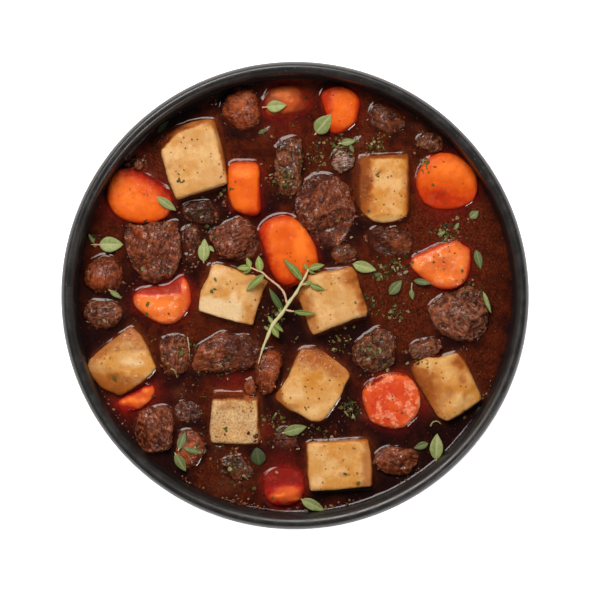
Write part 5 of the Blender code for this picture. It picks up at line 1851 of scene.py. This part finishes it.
for foot_x, foot_y, tip_x, tip_y, breadth, tone in SPRIG_LEAVES:
    foot = min(stem_routes, key=lambda point: (point.x / MM - foot_x) ** 2 + (point.y / MM - foot_y) ** 2)
    under, _ = ground(tip_x, tip_y)
    middle_under, _ = ground((foot.x / MM + tip_x) / 2, (foot.y / MM + tip_y) / 2)
    hanging = foot.z - 0.4 * MM + chance.uniform(-1, 1.2) * MM
    tip_z = max(hanging, under.z + 0.7 * MM, 2 * (middle_under.z + 0.5 * MM) - foot.z)
    tip = Vector((tip_x * MM, tip_y * MM, min(tip_z, HIGHEST_TIP)))
    fold, roll = chance.uniform(0.25, 0.55), chance.uniform(-0.35, 0.35)
    put_leaf(sprig, foot, tip, breadth, tone, fold, 0.05, roll)
sprig.build("thyme_stems_and_leaves", thyme, node="thyme_sprig")

# %% [markdown]
# ## Loose leaves
# More leaves have fallen over the stew. Some lie fresh on top, some are soaked and dark. Each is given by its
# middle, length, breadth and heading, and is dropped onto whatever is below both of its ends.

# %% Scatter the loose leaves
# x, y, length, breadth, heading, tone, length of the stalk
LOOSE = (
    (-8, 81.7, 8.6, 5.5, 5, 0.05, 2), (12.3, 74, 10, 7.5, 50, 0.25, 1), (23, 66.3, 6.5, 3.5, 10, 0.45, 1),
    (-55.3, 39.5, 10, 4, -35, 0.20, 0), (-57, 73, 7, 2.5, 48, 0.62, 0), (-79.5, 22, 10.5, 7.2, 0, 0.15, 3.5),
    (-39.3, 19.5, 10, 5.5, 88, 0.10, 0.5), (-36.2, 20.2, 3.6, 2, -45, 0.25, 0), (-77.5, 0.5, 6, 2.5, -35, 0.35, 0.5),
    (30, 12.3, 10.5, 5.3, -15, 0.12, 0), (43.5, 3.5, 8, 5, 50, 0.72, 0), (55, 5.8, 7.5, 3, -10, 0.75, 0),
    (50.5, 0.4, 4.5, 2.4, -80, 0.60, 0), (79.3, 15.5, 8.5, 3.8, -75, 0.70, 0), (82.8, -3, 10, 2, -70, 0.35, 0),
    (77.5, 35, 4.8, 4, 40, 0.65, 0), (0, -58, 10.5, 5, 15, 0.48, 0.5), (-48.7, -62.5, 8, 4, 70, 0.72, 0.5),
    (-43.7, -66.8, 8.6, 2.6, -16, 0.62, 0), (-49.3, -72, 9, 4.5, -60, 0.60, 0.5), (-16, -69.5, 8, 7, 100, 0.95, 0),
    (7.8, -90.5, 11, 5, -25, 0.15, 1.5), (61.2, -65.4, 11.2, 6.2, 88, 0.10, 0.8),
    (54.5, -65, 6.5, 3.5, -160, 0.60, 0), (63.6, 27, 4.5, 1.8, 20, 0.55, 0), (-88, 24.5, 5, 1.5, -60, 0.40, 0),
    (24.5, 63.5, 4, 2, -60, 0.7, 0), (-14, 71, 4.2, 2, 30, 0.8, 0), (70, 30, 3.6, 1.8, 60, 0.6, 0),
    (36, 9, 3.6, 2, 15, 0.85, 0),
)
# Corners of the bare twigs
TWIGS = (
    ((-46.5, -18), (-45.8, -22), (-45.5, -27.5)), ((-53.5, -31.5), (-51.8, -32.5), (-51, -35.5)),
    ((58.6, -56.6), (59.6, -54.8), (61.6, -54.4), (63, -55.6)), ((-40, 19), (-39.6, 17), (-39.3, 14.5)),
    ((50.6, 5.5), (50.4, 3.5), (50.5, 1.5)),
)
loose = Pile()
for x, y, length, breadth, heading, tone, stalk in LOOSE:
    way = Vector((*heading_of(heading), 0))
    ends = [ground(x + way.x * length * step, y + way.y * length * step)[0] for step in (-0.5, 0.5)]
    middle, _ = ground(x, y)
    lift = max(0.0, middle.z - (ends[0].z + ends[1].z) / 2)
    rest = (0.25 + 0.25 * (1 - tone)) * MM + lift
    foot, tip = (end + Vector((0, 0, rest)) for end in ends)
    fold, roll = 0.10 + 0.28 * (1 - tone), chance.uniform(-0.12, 0.12)
    put_leaf(loose, foot, tip, breadth, tone, fold, 0.035, roll)
    if stalk:
        back = foot - way * stalk * MM
        route = smooth_route([foot + way * 0.6 * MM, foot, back + Vector((0, 0, 0.2 * MM))], 3)
        put_tube(loose, route, [0.30 * MM] * len(route), tone * 0.5, sides=6)
for corners in TWIGS:
    route = smooth_route([ground(*corner)[0] + Vector((0, 0, 0.45 * MM)) for corner in corners], 4)
    radii = [0.38 * MM - 0.15 * MM * i / len(route) for i in range(len(route))]
    put_tube(loose, route, radii, 0.7, sides=6)
loose.build("loose_thyme", wet_thyme)

# %% [markdown]
# ## Herbs, pepper, shreds and foam
# The last layer is small: dried herb flakes in drifts, cracked pepper, browned scraps on the pale food, shreds
# of beef round every chunk, and beads of foam where the broth meets the wall. They are real solids, because
# at this size their shadows and glints are what is seen. Each kind shares one mesh.

# %% Places for the flakes
# x, y, radius and weight of each drift
DRIFTS = (
    (66, 27, 6, 60), (37, 10, 5, 50), (44, -7, 5, 44), (35.5, 64.5, 5, 50), (24, -49, 4.5, 60), (56, 57, 4, 30),
    (-10, -55, 5, 34), (-88, 24, 3, 16), (45, 13, 5, 34), (-9, -10, 6, 40), (34, -24, 7, 50), (9, 60, 7, 44),
    (74, 4, 8, 24), (-33, -30, 8, 30), (-44, -66, 6, 16), (36, 52, 5, 16), (-30, 46, 8, 20), (60, 44, 6, 14),
    (-4, 50, 7, 40), (20, 66, 6, 44), (-50, -24, 5, 24), (54, -28, 5, 20), (-26, -75, 8, 44), (10, -60, 6, 20),
    (-40, 30, 7, 24), (32, -4, 6, 20), (18, -20, 6, 24),
)
DRIFT_WEIGHTS = [weight for *_, weight in DRIFTS]
STEW_RADIUS = 91  # in millimetres; nothing is scattered beyond it
chance = random.Random(5)


def random_spot():
    """A place for one flake: mostly in the drifts, the rest anywhere on the stew."""
    if chance.random() < 0.80:
        x, y, radius, _ = chance.choices(DRIFTS, weights=DRIFT_WEIGHTS)[0]
        return chance.gauss(x, radius * 0.45), chance.gauss(y, radius * 0.45)
    radius, angle = STEW_RADIUS * math.sqrt(chance.random()), chance.uniform(0, 2 * math.pi)
    return radius * math.cos(angle), radius * math.sin(angle)


pale_tree = search_tree(potatoes + carrots)


def on_pale_food(spot):
    """Whether a spot lies on a potato or a carrot, where every scrap is plainly seen."""
    hit, _, _, away = pale_tree.find_nearest(spot)
    return hit is not None and away < 0.2 * MM and spot.z > BROTH_LEVEL + 2 * MM


def put_flake(pile, spot, normal, size, tone):
    """A crumpled scrap of leaf: an uneven outline, a bent middle, and a little thickness."""
    tilt = Vector((chance.gauss(0, 0.35), chance.gauss(0, 0.35), 1)) + normal * 1.5
    turned = tilt.to_track_quat("Z", "Y").to_matrix() @ Matrix.Rotation(chance.uniform(0, 6.3), 3, "Z")
    count = chance.choice((5, 6, 7))
    narrow = chance.uniform(0.35, 0.9)
    outline = []
    for k in range(count):
        angle = 2 * math.pi * (k + chance.uniform(-0.3, 0.3)) / count
        reach = size / 2 * chance.uniform(0.7, 1.15)
        rise = chance.uniform(-0.1, 0.16) * size
        outline.append(Vector((math.cos(angle) * reach, math.sin(angle) * reach * narrow, rise)))
    thick, middle = Vector((0, 0, 0.10 * MM)), Vector((0, 0, 0.12 * size))
    points = [point + thick for point in outline] + [point - thick for point in outline]
    points += [middle + thick, middle - thick]
    faces = []
    for k in range(count):
        n = (k + 1) % count
        faces += [[k, n, 2 * count], [count + n, count + k, 2 * count + 1], [k, count + k, count + n, n]]
    base = spot + Vector((0, 0, 0.10 * MM)) + normal * 0.10 * MM
    pile.put([base + turned @ point for point in points], faces, tone=tone)


print(f"{len(DRIFTS)} drifts")

# %% Dried herb flakes
FLAKES = 1300
flakes = Pile()
for _ in range(FLAKES):
    x, y = random_spot()
    if math.hypot(x, y) > STEW_RADIUS + 0.5:
        continue
    spot, normal = ground(x, y)
    size, tone = chance.choice((0.5, 0.7, 0.9, 1.2, 1.6, 2.2)) * MM, chance.random()
    if on_pale_food(spot):
        if chance.random() < 0.6:
            continue
        size, tone = size * 0.8, 0.5 + 0.15 * tone
    put_flake(flakes, spot, normal, size, tone)
# x, y, breadth (mm) and 1 for a brown scrap or 0 for three green ones: what lies plainly on potato and carrot
SCRAPS = (
    (-44.3, 67.1, 1.2, 1), (-48.8, 65.8, 1.4, 1), (-47.1, 63.3, 1, 1), (-49.5, 55.5, 1.1, 1), (-47.7, 54, 1.1, 1),
    (-31.9, 51, 1.8, 1), (42.2, 53.1, 0.9, 1), (41.3, 51.4, 1.2, 1), (32.9, 49.6, 1.8, 1), (42.7, 44.9, 1.1, 1),
    (44.8, 44, 1, 1), (45.7, 42.7, 1, 1), (42.5, 39.8, 0.7, 1), (63.7, -35.5, 1, 1), (73.5, -39.2, 1.1, 1),
    (61.4, -50.2, 1.2, 1), (15.6, 5.2, 0.9, 1), (25.8, -3.6, 1.6, 0), (-35.2, 1.6, 2.4, 0), (-27.8, 6.1, 0.9, 1),
    (-34.5, 6.9, 1.4, 0), (19.3, -65.7, 1.3, 1), (25.7, -65.9, 1.1, 1), (12.6, -64.6, 1, 1), (9.4, -68.5, 0.8, 1),
    (11.3, -68.6, 0.8, 1), (12.6, -71.4, 0.8, 1), (21.7, -76.8, 1.5, 0), (27, -80.5, 1.6, 0), (4.9, -41.4, 1, 1),
    (7.4, -39.9, 1.1, 1), (11.5, -40.3, 1, 1), (10.4, -44.3, 1.1, 1), (4.9, -48.5, 1.4, 0), (-30.4, -57.5, 2, 0),
    (-66.5, -28.8, 0.9, 1), (-77.3, -35.5, 2.4, 0), (-49.8, 50, 1.6, 0), (-51, 49, 1.4, 0), (-48.4, 48.8, 1.3, 0),
    (-50, 52, 1, 0), (-63.5, 43.5, 1, 1), (19.2, 75.1, 1.1, 1), (-63.2, -3.6, 1.8, 0), (-63.6, -8, 1.8, 0),
    (-54.4, -7.6, 1.2, 0), (-54.4, 0.5, 0.8, 1), (64, 14.5, 1.8, 1), (59.6, 14.4, 1.4, 0), (64.3, 11.4, 1.3, 1),
    (39.8, -53.1, 1.7, 1), (46.2, -50.5, 1.9, 1), (42, -44.9, 0.9, 1), (33.6, -47.5, 1.2, 1), (64, 57.6, 1, 1),
    (72.3, 48.2, 1.1, 1), (61.8, 17.4, 0.9, 1), (64.2, 16.4, 1.1, 1), (66.6, 19, 0.9, 1), (68.8, 18.2, 1.2, 1),
    (59.8, 16.6, 0.8, 1), (71, 20.2, 1, 1), (66, 21, 0.8, 1),
)
browned = Pile()
for x, y, size, is_brown in SCRAPS:
    spot, normal = ground(x, y)
    for _ in range(1 if is_brown else 3):
        stray = Vector((chance.gauss(0, 0.5), chance.gauss(0, 0.5), 0)) * (0 if is_brown else size * 0.5 * MM)
        breadth = size * MM * chance.uniform(0.7, 0.95)
        tone = 0.62 + 0.1 * chance.random() if is_brown else 0.6
        put_flake(browned if is_brown else flakes, spot + stray, normal, breadth, tone)
herbs = Finish("dried_herbs", (0.034, 0.036, 0.010))
tone = herbs.attribute("tone")
herbs.paint(herbs.spread(tone, 0.10, 0.60), (0.140, 0.130, 0.030))
herbs.paint(herbs.spread(tone, 0.66, 0.98), (0.40, 0.34, 0.18))
herbs.paint(1.0, herbs.drift(0.5, 0.4, 0.6, WHITE, (0.55, 0.50, 0.40))["Colour"], how="MULTIPLY")
herb_finish = herbs.done(
    Roughness=herbs.spread(tone, 0.0, 1.0, 0.45, 0.60),
    Normal=herbs.bump(herbs.relief(0.3, 0.4, 0.8), 0.5, 0.06),
    Specular_IOR_Level=0.12,
)
flakes.build("herb_flakes", herb_finish, smooth=False)

# %% Cracked pepper, and the browned scraps
GRAINS = 900
CORE = [Vector(way) for way in ((1, 0, 0), (-1, 0, 0), (0, 1, 0), (0, -1, 0), (0, 0, 1), (0, 0, -1))]
CORE_FACES = [(0, 2, 4), (2, 1, 4), (1, 3, 4), (3, 0, 4), (2, 0, 5), (1, 2, 5), (3, 1, 5), (0, 3, 5)]
grains_pile = Pile()
chance = random.Random(8)
for _ in range(GRAINS):
    x, y = random_spot() if chance.random() < 0.35 else (chance.uniform(-90, 90), chance.uniform(-90, 90))
    if math.hypot(x, y) > STEW_RADIUS:
        continue
    spot, normal = ground(x, y)
    size, tone = chance.choice((0.16, 0.2, 0.25, 0.3, 0.42)) * MM, chance.random()
    if on_pale_food(spot) and chance.random() < 0.85:
        continue
    turned = Matrix.Rotation(chance.uniform(0, 6.3), 3, (chance.random(), chance.random(), chance.random() + 0.1))
    points = [spot + normal * size * 0.5 + turned @ (way * size * chance.uniform(0.6, 1.3)) for way in CORE]
    grains_pile.put(points, CORE_FACES, tone=tone)
pepper = Finish("cracked_pepper", (0.030, 0.014, 0.008))
tone = pepper.attribute("tone")
pepper.paint(pepper.spread(tone, 0.45, 0.65), (0.16, 0.045, 0.012))
pepper.paint(pepper.spread(tone, 0.93, 0.98), (0.36, 0.20, 0.07))
pepper_finish = pepper.done(Roughness=pepper.spread(tone, 0.0, 1.0, 0.3, 0.5))
grains_pile.build("pepper_and_spice", pepper_finish, smooth=False)
browned.build("browned_scraps", pepper_finish, smooth=False)

# %% Shreds of beef
ball = bmesh.new()
bmesh.ops.create_icosphere(ball, subdivisions=2, radius=1)
BALL = [vertex.co.copy() for vertex in ball.verts]
BALL_FACES = [[vertex.index for vertex in face.verts] for face in ball.faces]
ball.free()
shreds = Pile()
chance = random.Random(33)


def put_shred(x, y, length):
    """A craggy scrap, longer than wide, mostly sunk in what it lies on."""
    spot, normal = ground(x, y)
    turned = Matrix.Rotation(chance.uniform(0, 6.3), 3, "Z") @ Matrix.Rotation(chance.gauss(0, 0.4), 3, "X")
    wide, tall = chance.uniform(0.45, 0.8), chance.uniform(0.35, 0.6)
    rough = [chance.uniform(0.72, 1.22) for _ in BALL]
    points = [turned @ Vector((p.x, p.y * wide, p.z * tall)) * (length / 2 * MM * r) for p, r in zip(BALL, rough)]
    base = spot + normal * 0.1 * MM
    shreds.put([base + point for point in points], BALL_FACES, tone=chance.random())


for corners in (np.array(corners) for corners in BEEF_OUTLINES.values()):
    middle = corners.mean(axis=0)
    for _ in range(int(5 + len(corners) * 0.6)):
        start = chance.randrange(len(corners))
        share, out = chance.random(), chance.gauss(1.02, 0.08)
        on_edge = corners[start] * share + corners[(start + 1) % len(corners)] * (1 - share)
        x, y = middle + (on_edge - middle) * out
        if math.hypot(x, y) < STEW_RADIUS:
            put_shred(x, y, chance.choice((0.8, 1.1, 1.4, 1.8, 2.4)))
# x, y, spread and count of loose shreds between the pieces
SHRED_PATCHES = (
    (-36, 86, 5, 5), (-10, 70, 6, 7), (8, 64, 5, 6), (-50, 35, 4, 6), (-44, 14, 4, 7), (-33, 42, 4, 4),
    (28, 33, 3, 4), (54, 70, 4, 4), (-30, -66, 5, 8), (-40, -56, 5, 6), (-18, -62, 5, 7), (-28, -84, 8, 10),
    (-66, 58, 3, 4), (20, -58, 4, 4), (46, 8, 4, 5), (-50, -40, 4, 5), (72, -24, 4, 4), (56, -26, 3, 4),
    (-12, 50, 3, 4), (30, -36, 4, 4), (-72, 4, 3, 4), (-14, -8, 3, 3), (66, 27, 5, 5), (80, 33, 3, 3),
)
for x, y, width, count in SHRED_PATCHES:
    for _ in range(count):
        put_shred(chance.gauss(x, width * 0.5), chance.gauss(y, width * 0.5), chance.choice((0.8, 1.2, 1.7, 2.3)))
# x, y and length of the larger lumps
LUMPS = (
    (-67.8, 56.6, 6.0), (-72.8, 56.0, 4.5), (-70.0, 58.6, 3.4), (-64.6, 58.0, 3.0), (-30.6, 39.6, 3.6),
    (30.5, 24.8, 3.6), (-15.0, 47.5, 3.0),
)
for x, y, length in LUMPS:
    put_shred(x, y, length)
frayed = Finish("shredded_beef", (0.050, 0.010, 0.004))
tone = frayed.attribute("tone")
frayed.paint(frayed.spread(tone, 0.1, 0.9), (0.230, 0.055, 0.018))
frayed.paint(1.0, frayed.drift(0.8, 0.4, 0.65, (0.45, 0.40, 0.40), (1.5, 1.7, 1.8))["Colour"], how="MULTIPLY")
frayed.wet(frayed.bump(frayed.relief(0.5, 0.6, 0.7), 0.7, 0.15), 0.45, 0.10)
frayed_finish = frayed.done(Roughness=frayed.spread(tone, 0.0, 1.0, 0.28, 0.42), Specular_IOR_Level=0.2)
shreds.build("beef_shreds", frayed_finish)

# %% Foam beads
# from heading, to heading, how many: beads along the wall
WALL_BEADS = (
    (238, 254, 26), (254, 262, 16), (268, 276, 10), (278, 288, 22), (298, 306, 14), (206, 222, 16), (139, 143, 6),
    (328, 340, 10),
)
# x, y, spread, how many: beads among the food
FREE_BEADS = (
    (-30, -70, 5, 16), (-34, -60, 4, 10), (-66.5, 57, 3, 8), (-48, 14, 4, 10), (-28, 34, 2, 3), (-24, -88, 4, 10),
    (30, 60, 5, 8), (70, 30, 6, 8), (50, 60, 4, 6),
)
foam = Pile()
chance = random.Random(21)


def put_bead(x, y, size):
    """A bead flattened by its own weight, unless it would lie on food that stands out of the broth."""
    spot, _ = ground(x, y)
    if spot.z > BROTH_LEVEL + 2.5 * MM:
        return
    flat = chance.uniform(0.45, 0.75)
    foam.put([spot + Vector((p.x, p.y, p.z * flat)) * size for p in BALL], BALL_FACES, tone=chance.random())


for start, end, count in WALL_BEADS:
    for _ in range(count):
        angle = math.radians(chance.uniform(start, end))
        size = chance.choice((0.25, 0.3, 0.4, 0.55)) * MM
        radius = LEVEL_RADIUS / MM - abs(chance.gauss(0.4, 0.9)) - size / MM
        put_bead(radius * math.cos(angle), radius * math.sin(angle), size)
for x, y, width, count in FREE_BEADS:
    for _ in range(count):
        place = chance.gauss(x, width * 0.5), chance.gauss(y, width * 0.5)
        put_bead(*place, chance.choice((0.2, 0.3, 0.4, 0.6)) * MM)
froth = Finish("froth", (0.10, 0.032, 0.014))
tone = froth.attribute("tone")
froth.paint(tone, (0.30, 0.14, 0.07))
froth_finish = froth.done(
    Roughness=froth.spread(tone, 0.0, 1.0, 0.05, 0.12),
    Normal=froth.bump(froth.relief(0.5, 0.6, 0.3), 0.15, 0.03),
    IOR=1.36,
)
foam.build("foam_beads", froth_finish)

# The frame's box and the box of everything that is shown are both printed.

# %% Print the boxes
visual_box = [list(corner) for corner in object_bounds()]
for name, box in (("frame", cad_box), ("shown", visual_box)):
    print(name, " x ".join(f"{(box[1][axis] - box[0][axis]) / MM:.1f}" for axis in range(3)), "mm")
